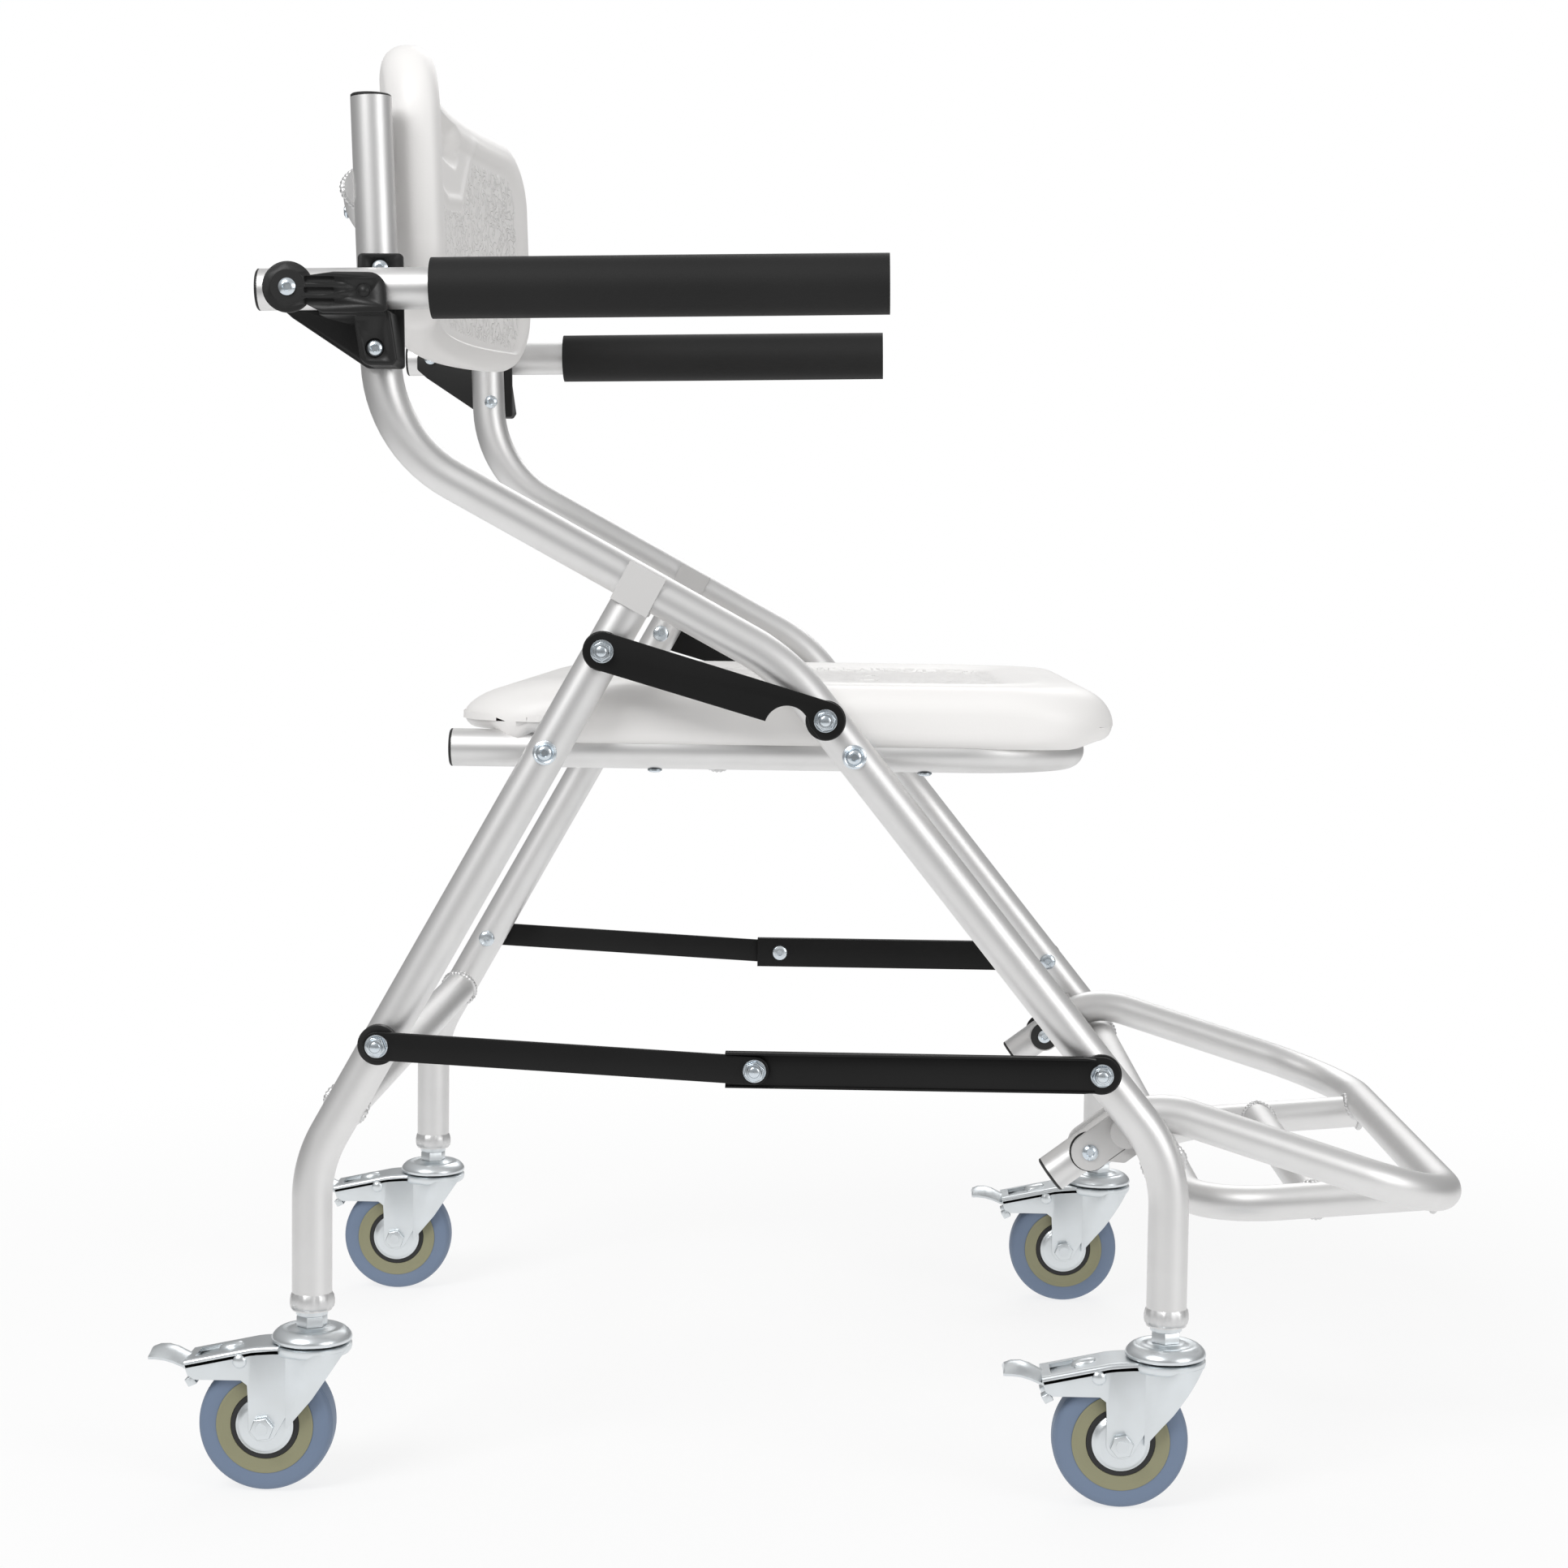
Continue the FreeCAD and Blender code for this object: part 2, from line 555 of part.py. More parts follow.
def frame_bolt(outer, inner, x, z):
    """Bolt along Y with a button head at the outer end and a low nut at the inner end."""
    return fuse(rod("bolt_radius", outer, inner - outer, x, z),
                rod(4.6, outer - 2.6, 2.6, x, z), hexagon("nut_flats", inner, 2, x, z))


foot_out = dim.clevis_out
arm_seat = dim.bracket_outer + dim.bracket_plate
frame_bolts = [frame_bolt(-UPPER_SEAT, -218.4, *UPPER_BOLT),
               frame_bolt(-LOWER_SEAT, -218.4, *LOWER_BOLT),
               frame_bolt(-arm_seat, -240.6, "arm_pivot_x", "arm_pivot_z"),
               frame_bolt(-foot_out, -dim.clevis_in, "foot_pivot_x", "foot_pivot_z")]


# Back panel screws go through the crossbar from behind
def back_screw(y):
    sag = dim.back_bar_sag
    radius = (dim.half_track ** 2 + sag ** 2) / (2 * sag)
    x = dim.back_bar_x - sag + radius - math.sqrt(radius ** 2 - y ** 2)
    shank = turn(make("Part::Cylinder", Radius="screw_radius", Height="2 * tube_radius + 16"),
                 (0, 1, 0), 90)
    button = turn(make("Part::Cylinder", Radius=4, Height=2.2), (0, 1, 0), 90)
    return fuse(place(shank, x - dim.tube_radius, y, "back_bar_z"),
                place(button, x - dim.tube_radius - 2.2, y, "back_bar_z"))


back_screws = [back_screw(y) for y in (-120, -45)]
screws = both(*back_screws)
keep("frame_bolts", both(*frame_bolts, *back_screws))
for label in ("back_crossbar", "backrest_panel"):
    keep(label, cut(parts[label], screws))

# Clevises that carry the footrest, welded inside the front legs
clevis_plates = [
    fuse(rod("clevis_round", f"-{y} - {t}", t, 0, 0),
         block(0, f"-{y} - {t}", "-clevis_round", "clevis_length", t, "2 * clevis_round"))
    for y, t in (("(clevis_out - clevis_plate)", "clevis_plate"), ("clevis_in", "clevis_plate"))]
clevis_web = block(12, "-clevis_out", "-clevis_round - 5.8", "clevis_length - 12",
                   "clevis_out - clevis_in", "clevis_plate")
clevis_skirts = [block(12, f"-{y} - clevis_plate", "-clevis_round - 5.8", "clevis_length - 12",
                       "clevis_plate", 7)
                 for y in ("(clevis_out - clevis_plate)", "clevis_in")]
clevis_pad = rod(9, "-clevis_out - 5", 6, 23, -2)
clevis = cut(fuse(*clevis_plates, clevis_web, *clevis_skirts, clevis_pad),
             rod("hole_radius", "-clevis_out - 6", 40, 0, 0))
clevis.Placement = FreeCAD.Placement(Vector(dim.foot_pivot_x, 0, dim.foot_pivot_z),
                                     FreeCAD.Rotation(Vector(0, 1, 0), -dim.foot_angle))
clevis = cut(clevis, side_solid, parts["front_leg_crossbar"])
keep("footrest_clevises", both(clevis))

# Upper links
def link_bolt(out, x, z, reach):
    """Lock nut on the link's face and its shank, reaching inwards by reach."""
    start = near(f"{out} + nut_height")
    return fuse(nut(start, x, z), rod("bolt_radius", near(f"{out} + nut_height + 1"), reach, x, z))


along = Vector(dim.link_rear_x - dim.link_front_x, 0, dim.link_rear_z - dim.link_front_z)
along.normalize()
notch = (dim.link_front_x + along.x * dim.notch_back - along.z * dim.notch_down,
         dim.link_front_z + along.z * dim.notch_back + along.x * dim.notch_down)
upper_link = cut(
    flat_bar("link_front_x", "link_front_z", "link_rear_x", "link_rear_z", "link_half",
             near("link_out + link_thick"), "link_thick"),
    rod("notch_radius", near(20), 10, *notch),
    rod("bolt_radius", near(20), 10, *front_pivots[0]),
    rod("bolt_radius", near(20), 10, *rear_pivots[0]))
keep("upper_link_right", upper_link)
keep("upper_link_left", mirror(upper_link))
to_link = "link_out + link_thick"
inner_face = "tube_radius + play"


def through_bolt(out, x, z):
    """Bolt from the nut outside to its head on the tube's inner face."""
    inner = near(f"-({inner_face})")
    start = near(f"{out} + nut_height + 1")
    return fuse(nut(near(f"{out} + nut_height"), x, z),
                rod("bolt_radius", start, f"{inner} - ({start})", x, z),
                rod("head_radius", inner, "head_height", x, z))


def washer(out, thick, x, z):
    """Black washer between a tube and the bar pivoted on it."""
    disc = rod("washer_radius", near(out), thick, x, z)
    return cut(disc, rod("bolt_radius", near(f"{out} + 1"), f"{thick} + 2", x, z))


short = f"nut_height + 1 + link_thick + link_out - ({inner_face})"
pad = f"link_out - ({inner_face})"
keep("upper_link_bolts", both(through_bolt(to_link, *front_pivots[0]),
                              link_bolt(to_link, *rear_pivots[0], short),
                              washer("link_out", pad, *front_pivots[0]),
                              washer("link_out", pad, *rear_pivots[0])))

# Lower braces: the front half is an angle whose lip stops the rear half just past straight
front_face = near("front_brace_out + link_thick")
front_brace = fuse(
    block("knee_x - brace_overlap", front_face, "knee_z - front_brace_half",
          "brace_front_x - knee_x + brace_overlap", "link_thick", "2 * front_brace_half"),
    rod("front_brace_half", front_face, "link_thick", "brace_front_x", "brace_front_z"),
    block("knee_x - brace_overlap", near("front_brace_out + link_thick + lip_height"),
          "knee_z + front_brace_half - lip_thick", "brace_front_x - knee_x + brace_overlap - 3",
          "lip_height + 1", "lip_thick"))
front_brace = cut(front_brace, rod("bolt_radius", near(20), 10, *front_pivots[2]),
                  rod("hole_radius", near(20), 10, "knee_x", "knee_z"))
keep("front_brace_right", front_brace)
keep("front_brace_left", mirror(front_brace))
gap = f"front_brace_out - ({inner_face})"
keep("front_brace_bolts", both(through_bolt("front_brace_out + link_thick", *front_pivots[2]),
                               washer("front_brace_out", gap, *front_pivots[2])))

rear_brace = cut(
    flat_bar("brace_rear_x", "brace_rear_z", "knee_x", "knee_z", "rear_brace_half",
             near("rear_brace_out + link_thick"), "link_thick"),
    rod("bolt_radius", near(30), 20, *rear_pivots[2]),
    rod("bolt_radius", near(30), 20, "knee_x", "knee_z"))
keep("rear_brace_right", rear_brace)
keep("rear_brace_left", mirror(rear_brace))
rear_face = "rear_brace_out + link_thick"
rear_reach = f"nut_height + 1 + link_thick + rear_brace_out - ({inner_face})"
knee_reach = "nut_height + 1 + link_thick + rear_brace_out - front_brace_out + play"
knee_head = rod("head_radius", near("front_brace_out - play"), "head_height - play", "knee_x",
                "knee_z")
keep("rear_brace_bolts", both(
    link_bolt(rear_face, *rear_pivots[2], rear_reach),
    washer("rear_brace_out", f"rear_brace_out - ({inner_face})", *rear_pivots[2]),
    fuse(link_bolt(rear_face, "knee_x", "knee_z", knee_reach), knee_head)))

# Armrests
arm_turn = FreeCAD.Placement(Vector(), FreeCAD.Rotation(Vector(0, 1, 0), -dim.arm_tilt),
                             Vector(dim.arm_pivot_x, 0, dim.arm_pivot_z))


def tilted(obj):
    """Turn a piece of the arm about the arm's pivot by the arm's rise."""
    obj.Placement = arm_turn.multiply(obj.Placement)
    return obj


def along_x(radius, start, end, y, z):
    bar = turn(make("Part::Cylinder", Radius=radius, Height=f"{end} - ({start})"), (0, 1, 0), 90)
    return place(bar, start, y, z)


def arm_parts(pad_rear):
    tube_solid = along_x("tube_radius", "arm_rear", "arm_front", "-arm_y", "arm_pivot_z")
    bore = along_x("tube_radius - tube_wall", "arm_rear", "arm_front", "-arm_y", "arm_pivot_z")
    hole = rod("hole_radius", "-(arm_y + 20)", 40, "arm_pivot_x", "arm_pivot_z")
    sleeve = along_x("pad_radius", pad_rear, "pad_front", "-arm_y", "arm_pivot_z")
    inside = along_x("tube_radius + 0.05", f"{pad_rear} - 1", "pad_front + 1", "-arm_y",
                     "arm_pivot_z")
    rear_cap = cap("tube_radius", "tube_radius - tube_wall - 0.05", "arm_rear", "arm_pivot_z",
                   "-arm_y")
    front_cap = fuse(
        along_x("tube_radius", "arm_front", "arm_front + cap_lip", "-arm_y", "arm_pivot_z"),
        along_x("tube_radius - tube_wall - 0.05", "arm_front - cap_depth", "arm_front", "-arm_y",
                "arm_pivot_z"))
    return (tilted(cut(tube_solid, bore, hole)), tilted(cut(sleeve, inside)),
            tilted(group(rear_cap, front_cap)))


for kind, shape in zip(("tube", "pad", "caps"), arm_parts("pad_rear_right")):
    keep(f"arm_{kind}_right", shape)
for kind, shape in zip(("tube", "pad", "caps"), arm_parts("pad_rear_left")):
    keep(f"arm_{kind}_left", mirror(shape))

# Footrest: an outer loop on two pivots, an inner heel loop and a crosswise tube
y_foot, y_heel = dim.foot_y, dim.heel_y
foot_path = [(dim.foot_stub_x, -y_foot, dim.foot_stub_z),
             (dim.foot_crest_x, -y_foot, dim.foot_crest_z),
             (dim.foot_front_x, -y_foot, dim.foot_front_z),
             (dim.foot_front_x, y_foot, dim.foot_front_z),
             (dim.foot_crest_x, y_foot, dim.foot_crest_z),
             (dim.foot_stub_x, y_foot, dim.foot_stub_z)]
foot_radii = [dim.crest_radius, dim.foot_corner, dim.foot_corner, dim.crest_radius]
heel_path = [(dim.heel_front_x, -y_heel, dim.heel_front_z),
             (dim.heel_rear_x, -y_heel, dim.heel_rear_z),
             (dim.heel_rear_x, y_heel, dim.heel_rear_z),
             (dim.heel_front_x, y_heel, dim.heel_front_z)]
foot_solid = pipe(foot_path, foot_radii, "slim_radius")
foot_loop = cut(tube(foot_path, foot_radii, "slim_radius", "slim_wall"),
                rod("hole_radius", -230, 460, "foot_pivot_x", "foot_pivot_z"))
heel_radii = [dim.heel_corner, dim.heel_corner]
heel_loop = cut(tube(heel_path, heel_radii, "slim_radius", "slim_wall"), foot_solid)
rise = (dim.heel_front_z - dim.heel_rear_z) / (dim.heel_front_x - dim.heel_rear_x)
bar_z = dim.heel_rear_z + rise * (dim.foot_bar_x - dim.heel_rear_x)
foot_bar = cut(rod("slim_radius", "-heel_y", "2 * heel_y", "foot_bar_x", bar_z),
               rod("slim_radius - slim_wall", "-heel_y", "2 * heel_y", "foot_bar_x", bar_z),
               pipe(heel_path, heel_radii, "slim_radius"))
keep("footrest_loop", foot_loop)
keep("footrest_heel_loop", heel_loop)
keep("footrest_cross_tube", foot_bar)
foot_cap = cap("slim_radius", "slim_radius - slim_wall - 0.05", 0, 0, 0)
foot_cap.Placement = FreeCAD.Placement(
    Vector(*foot_path[0]), FreeCAD.Rotation(Vector(0, 1, 0), -dim.foot_angle))
spacers = [cut(rod(9.5, f"-{y}", 1.1, "foot_pivot_x", "foot_pivot_z"),
               rod("hole_radius", f"-{y} - 1", 4, "foot_pivot_x", "foot_pivot_z"))
           for y in ("(foot_y + slim_radius + 1.2)", "(foot_y - slim_radius - 0.1)")]
keep("footrest_caps", both(foot_cap, *spacers))

# Casters, built about their own swivel axis and then set under each leg
axle_x, axle_z = "-caster_trail", "wheel_radius"
FORK_SIDE = [(-66, 75.4), (-63, 66.5), (-57, 63.5), (-33.2, 63.5), (-32.6, 37.5), (-24.5, 29.4),
             (-18.2, 31.6), (3, 54.5), (15.5, 74.5), (20, 79.5), (20, 81.8), (-33, 81.8)]
fork_sides = [sketch_plate(FORK_SIDE, y, "fork_plate", {3: [1, 9], 4: [3], 1.5: [0]})
              for y in ("-fork_inner", "fork_inner + fork_plate")]
hubs = [rod(8, y, "fork_plate", axle_x, axle_z) for y in ("-fork_inner - fork_plate",
                                                         "fork_inner")]
bridge = block(-30, "-fork_inner", 79.4, 50, "2 * fork_inner", 2.4)
lower_race = turned([(4.05, 79.4), (18, 78), (21.2, 78.6), (22.3, 80.4), (22, 83), (4.05, 83)])
rivets = [rod(2.5, "-fork_inner - fork_plate", "fork_plate + 1.45", "-rivet_back", "rivet_z"),
          rod(2.5, "fork_inner - 1.45", "fork_plate + 1.45", "-rivet_back", "rivet_z"),
          rod(3.7, "-fork_inner - fork_plate - 1.3", 1.3, "-rivet_back", "rivet_z"),
          rod(3.7, "fork_inner + fork_plate", 1.3, "-rivet_back", "rivet_z")]
pin_clear = post(4.05, 10, 0, 0, 76)
fork = cut(fuse(*fork_sides, *hubs, bridge, lower_race, *rivets), pin_clear,
           rod("axle_radius", -20, 40, axle_x, axle_z))
bolt_out = "fork_inner + fork_plate"
axle = fuse(rod("axle_radius", f"-({bolt_out} + 3)", f"2 * ({bolt_out} + 3)", axle_x, axle_z),
            hexagon(11, f"-({bolt_out} + 5)", 5, axle_x, axle_z),
            hexagon(11, bolt_out, 5, axle_x, axle_z),
            rod("guard_radius", "-fork_inner", "fork_inner - core_half - 0.4", axle_x, axle_z),
            rod("guard_radius", "core_half + 0.4", "fork_inner - core_half - 0.4", axle_x,
                axle_z))


def wheel(profile):
    """Ring turned about the axle from an (across, radius) outline."""
    return place(turn(turned(profile), (1, 0, 0), 90), axle_x, 0, axle_z)


r_out, half_tread = dim.wheel_radius, dim.tread_half
r_core, half_core, r_ring = dim.core_radius, dim.core_half, dim.ring_radius
tyre = wheel([(r_core, -half_tread + 1), (r_out - 5, -half_tread), (r_out - 2, -half_tread + 0.8),
              (r_out - 0.4, -half_tread + 3.5), (r_out, -half_tread + 6),
              (r_out, half_tread - 6), (r_out - 0.4, half_tread - 3.5),
              (r_out - 2, half_tread - 0.8), (r_out - 5, half_tread), (r_core, half_tread - 1)])
core = wheel([(4, -half_core), (r_ring - 0.5, -half_core), (r_ring, -half_core - 1.2),
              (r_core, -half_core - 1), (r_core, half_core + 1), (r_ring, half_core + 1.2),
              (r_ring - 0.5, half_core), (4, half_core)])
PEDAL_TOP = [(-59, 77.8), (-33, 86.3), (-33, 87.8), (-59.4, 79.3)]
PEDAL_SIDE = [(-59, 77.5), (-41.5, 72.2), (-37.4, 70.2), (-33.6, 72.8), (-33, 87.5), (-59.2, 79)]
TONGUE = [(-88, 76.2), (-84, 77.2), (-74, 80.2), (-66, 79.6), (-59, 77), (-59, 79.2),
          (-66, 81.6), (-74, 82.2), (-84, 79), (-88, 77.8)]
pedal = fuse(sketch_plate(PEDAL_TOP, 12.2, 24.4), sketch_plate(TONGUE, 10, 20),
             sketch_plate(PEDAL_SIDE, 12.2, 0.9), sketch_plate(PEDAL_SIDE, -11.3, 0.9))
pedal = cut(pedal, rod(2.55, -20, 40, "-rivet_back", "rivet_z"),
            block(-56, -4.5, 74, 17, 9, 14))
CASTER = {"fork": fork, "axle": axle, "tyre": tyre, "wheel_core": core, "brake_pedal": pedal}
for corner, x, y in (("rear_right", "rear_leg_x", "-half_track"),
                     ("rear_left", "rear_leg_x", "half_track"),
                     ("front_right", "front_leg_x", "-half_track"),
                     ("front_left", "front_leg_x", "half_track")):
    for piece, shape in CASTER.items():
        keep(f"{piece}_{corner}", place(group(shape), x, y, 0))

doc.recompute()
for obj in doc.Objects:
    if {"Invalid", "Error"} & set(obj.State):
        raise RuntimeError(f"{obj.Name} ({obj.Label}) did not compute: {obj.State}")
os.makedirs("parts", exist_ok=True)
for label, obj in parts.items():
    shape = obj.Shape
    if shape.isNull() or not shape.isValid() or not shape.Solids:
        raise RuntimeError(f"{label} has no valid solid")
    shape.exportStep(f"parts/{label}.step")
    box = shape.BoundBox
    print(f"{label:26s} {len(shape.Solids):2d} solids {shape.Volume / 1000:9.2f} cm3"
          f"  x {box.XMin:7.1f} {box.XMax:7.1f}  z {box.ZMin:6.1f} {box.ZMax:6.1f}")
whole = FreeCAD.BoundBox()
for obj in parts.values():
    whole.add(obj.Shape.BoundBox)
print(f"{len(parts)} nodes, whole {whole}")
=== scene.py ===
# %% [markdown]
# # A folding transport chair
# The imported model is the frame: it fixes every size, joint and body. This lesson loads it,
# then builds the visible surfaces over it in millimetres, from profiles and paths worked out
# with numpy, and gives every piece a finish made of shader nodes.

# %% Frame
import json
import math

import bmesh
import bpy
import numpy as np
from mathutils import Matrix, Vector

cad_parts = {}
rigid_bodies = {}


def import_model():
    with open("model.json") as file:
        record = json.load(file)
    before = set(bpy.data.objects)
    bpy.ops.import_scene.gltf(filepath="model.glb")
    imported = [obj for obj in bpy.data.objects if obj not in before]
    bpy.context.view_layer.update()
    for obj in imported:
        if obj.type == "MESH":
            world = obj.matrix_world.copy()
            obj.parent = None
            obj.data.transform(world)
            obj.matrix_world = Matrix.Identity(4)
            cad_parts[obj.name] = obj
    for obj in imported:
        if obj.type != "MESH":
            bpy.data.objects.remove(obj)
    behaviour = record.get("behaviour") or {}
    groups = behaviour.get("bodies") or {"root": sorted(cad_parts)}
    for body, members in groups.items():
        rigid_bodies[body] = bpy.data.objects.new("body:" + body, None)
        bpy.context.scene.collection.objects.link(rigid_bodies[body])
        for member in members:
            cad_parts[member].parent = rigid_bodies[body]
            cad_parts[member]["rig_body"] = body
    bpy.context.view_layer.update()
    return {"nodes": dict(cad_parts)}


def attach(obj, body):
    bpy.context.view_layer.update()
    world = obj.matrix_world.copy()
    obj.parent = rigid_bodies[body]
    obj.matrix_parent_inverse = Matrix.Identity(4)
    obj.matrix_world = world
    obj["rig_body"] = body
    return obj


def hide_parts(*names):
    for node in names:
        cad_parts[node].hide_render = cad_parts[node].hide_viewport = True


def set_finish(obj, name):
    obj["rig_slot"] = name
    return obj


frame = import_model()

MM = 0.001
NODES = frame["nodes"]

# %% [markdown]
# ## Camera
# The chair is seen from its right side, a little above the seat. A camera is a position and
# three directions: where it looks, its right and its up. Writing the matrix from those three
# is surer than turning it by angles one after another.

# %% Camera
CAMERA_PLACE = (18.35, -1814.36, 512.39)
CAMERA_YAW, CAMERA_PITCH, CAMERA_ROLL = math.radians(-1.467), math.radians(4.165), -0.01256
LENS, SENSOR = 66.856, 36


def camera_matrix():
    """Columns are right, up and back; roll turns right and up about the line of sight."""
    ahead = np.array([math.sin(CAMERA_YAW) * math.cos(CAMERA_PITCH),
                      math.cos(CAMERA_YAW) * math.cos(CAMERA_PITCH), -math.sin(CAMERA_PITCH)])
    level = np.array([math.cos(CAMERA_YAW), -math.sin(CAMERA_YAW), 0])
    down = np.cross(ahead, level)
    right = level * math.cos(CAMERA_ROLL) + down * math.sin(CAMERA_ROLL)
    lower = -level * math.sin(CAMERA_ROLL) + down * math.cos(CAMERA_ROLL)
    matrix = np.eye(4)
    matrix[:3, 0], matrix[:3, 1], matrix[:3, 2] = right, -lower, -ahead
    matrix[:3, 3] = np.array(CAMERA_PLACE) * MM
    return Matrix(matrix.tolist())


camera = bpy.data.objects.new("camera", bpy.data.cameras.new("camera"))
camera.data.lens, camera.data.sensor_width = LENS, SENSOR
camera.data.sensor_fit = "HORIZONTAL"
camera.matrix_world = camera_matrix()
bpy.context.scene.collection.objects.link(camera)
bpy.context.scene.camera = camera
print("camera at", [round(v, 3) for v in camera.matrix_world.translation])

# %% [markdown]
# ## Surfaces
# Every piece is a grid of points: rings along a path or up a profile, and places around each
# ring. Faces join neighbouring rings, so one helper turns any grid into a shell, and another
# collects shells into one piece of the chair.

# %% Shells
SHARP = math.radians(38)


def shell(grid, loop=True, caps=True):
    """Quads join ring i, place j to ring i + 1, place j + 1; the end rings may be filled."""
    rings, around = grid.shape[:2]
    index = np.arange(rings * around).reshape(rings, around)
    after = np.roll(index, -1, axis=1) if loop else index[:, 1:]
    here = index if loop else index[:, :-1]
    quads = np.stack([here[:-1], after[:-1], after[1:], here[1:]], axis=-1).reshape(-1, 4)
    faces = quads.tolist()
    if caps:
        faces += [index[0, ::-1].tolist(), index[-1].tolist()]
    return grid.reshape(-1, 3), faces


def turn_left(shells):
    """The same shells on the other side of the chair: y changes sign."""
    return [(points * (1, -1, 1), faces) for points, faces in shells]


def on_both_sides(shells):
    """The right side's shells and their mirror images."""
    return shells + turn_left(shells)


HANDS = (("right", list), ("left", turn_left))


def piece(name, shells, finish, body, slot, replaces=()):
    """One object from shells in millimetres, its faces outward and its place in its mesh."""
    points, faces, start = [], [], 0
    for shell_points, shell_faces in shells:
        points.append(shell_points)
        faces += [[corner + start for corner in face] for face in shell_faces]
        start += len(shell_points)
    mesh = bpy.data.meshes.new(name)
    mesh.from_pydata(np.concatenate(points) * MM, [], faces)
    work = bmesh.new()
    work.from_mesh(mesh)
    bmesh.ops.remove_doubles(work, verts=work.verts, dist=1e-6)
    bmesh.ops.recalc_face_normals(work, faces=work.faces)
    work.to_mesh(mesh)
    work.free()
    mesh.shade_smooth()
    mesh.set_sharp_from_angle(angle=SHARP)
    mesh.materials.append(finish)
    made = bpy.data.objects.new(name, mesh)
    bpy.context.scene.collection.objects.link(made)
    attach(made, body)
    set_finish(made, slot)
    if replaces:
        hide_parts(*replaces)
    print(f"{name}: {len(mesh.polygons)} faces on {body}")
    return made


# %% [markdown]
# ## Bent tube
# The frame is tube bent round a former, so its line is straight runs joined by arcs. The
# line is given by its corners and bend radii, and a circle is carried along it.

# %% Tube
ARC_STEPS, ROUND = 14, 40


def arc(before, corner, after, radius):
    """Points on the circle of that radius which touches both runs at a corner."""
    back = (before - corner) / np.linalg.norm(before - corner)
    ahead = (after - corner) / np.linalg.norm(after - corner)
    half = math.acos(np.clip(back @ ahead, -1, 1)) / 2
    middle = (back + ahead) / np.linalg.norm(back + ahead)
    centre = corner + middle * radius / math.sin(half)
    reach = radius / math.tan(half)
    first, last = corner + back * reach - centre, corner + ahead * reach - centre
    sweep = math.pi - 2 * half
    t = np.linspace(0, 1, ARC_STEPS)[:, None]
    return centre + (first * np.sin((1 - t) * sweep) + last * np.sin(t * sweep)) / math.sin(sweep)


def bent_line(corners, radii):
    """Ends and arcs, one after another."""
    corners = np.asarray(corners, float)
    runs = [corners[:1]]
    for number, radius in enumerate(radii, start=1):
        runs.append(arc(*corners[number - 1:number + 2], radius))
    return np.concatenate(runs + [corners[-1:]])


def carry(line, radius, side, around=ROUND, closed=False):
    """Rings: centre + radius * (cos t * across + sin t * up), square to the line everywhere."""
    steps = np.diff(np.concatenate([line[-1:], line, line[:1]]) if closed
                    else np.concatenate([2 * line[:1] - line[1:2], line,
                                         2 * line[-1:] - line[-2:-1]]), axis=0)
    steps /= np.linalg.norm(steps, axis=1, keepdims=True)
    ahead = steps[:-1] + steps[1:]
    ahead /= np.linalg.norm(ahead, axis=1, keepdims=True)
    across = np.cross(ahead, np.asarray(side, float))
    across /= np.linalg.norm(across, axis=1, keepdims=True)
    up = np.cross(ahead, across)
    t = np.linspace(0, 2 * np.pi, around, endpoint=False)
    radius = np.broadcast_to(radius, len(line))[:, None, None]
    stretch = 1 / np.sqrt(np.clip((ahead * steps[1:]).sum(axis=1), 0.5, 1))[:, None, None]
    ring = np.cos(t)[None, :, None] * across[:, None] + np.sin(t)[None, :, None] * up[:, None]
    grid = line[:, None] + radius * ring * (stretch if not closed else 1)
    return np.concatenate([grid, grid[:1]]) if closed else grid


def tube(corners, radii, radius, side=(0, 1, 0)):
    """Bent tube with filled ends."""
    return shell(carry(bent_line(corners, radii), radius, side))


def lathe(profile, centre, axis="y", around=ROUND, sign=1, caps=True):
    """Rings of (along, radius) rows turned about an axis through a centre."""
    along, radius = np.asarray(profile, float).T
    t = np.linspace(0, 2 * np.pi, around, endpoint=False)
    flat = radius[:, None] * np.cos(t), radius[:, None] * np.sin(t)
    along = np.broadcast_to(sign * along[:, None], flat[0].shape)
    order = {"x": (along, *flat), "y": (flat[0], along, flat[1]), "z": (*flat, along)}[axis]
    return shell(np.stack(order, axis=-1) + np.asarray(centre, float), caps=caps)


def soften(points, radii):
    """A closed outline whose corners become arcs; a radius of 0 keeps the corner."""
    points = np.asarray(points, float)
    radii = np.broadcast_to(radii, len(points))
    flat = np.column_stack([points, np.zeros(len(points))])
    runs = [arc(flat[i - 1], flat[i], flat[(i + 1) % len(flat)], radii[i])[::2, :2]
            if radii[i] else points[i:i + 1] for i in range(len(points))]
    return np.concatenate(runs)


def shrink(outline, distance):
    """Each point moved inwards along the mean of its two edges' normals."""
    edge = np.roll(outline, -1, axis=0) - outline
    edge /= np.linalg.norm(edge, axis=1, keepdims=True)
    normal = np.stack([-edge[:, 1], edge[:, 0]], axis=1)
    area = (outline[:, 0] * np.roll(outline[:, 1], -1)
            - outline[:, 1] * np.roll(outline[:, 0], -1)).sum()
    mean = normal + np.roll(normal, 1, axis=0)
    mean /= np.clip((mean ** 2).sum(axis=1, keepdims=True), 0.5, None) / 2
    return outline + mean * distance * np.sign(area)


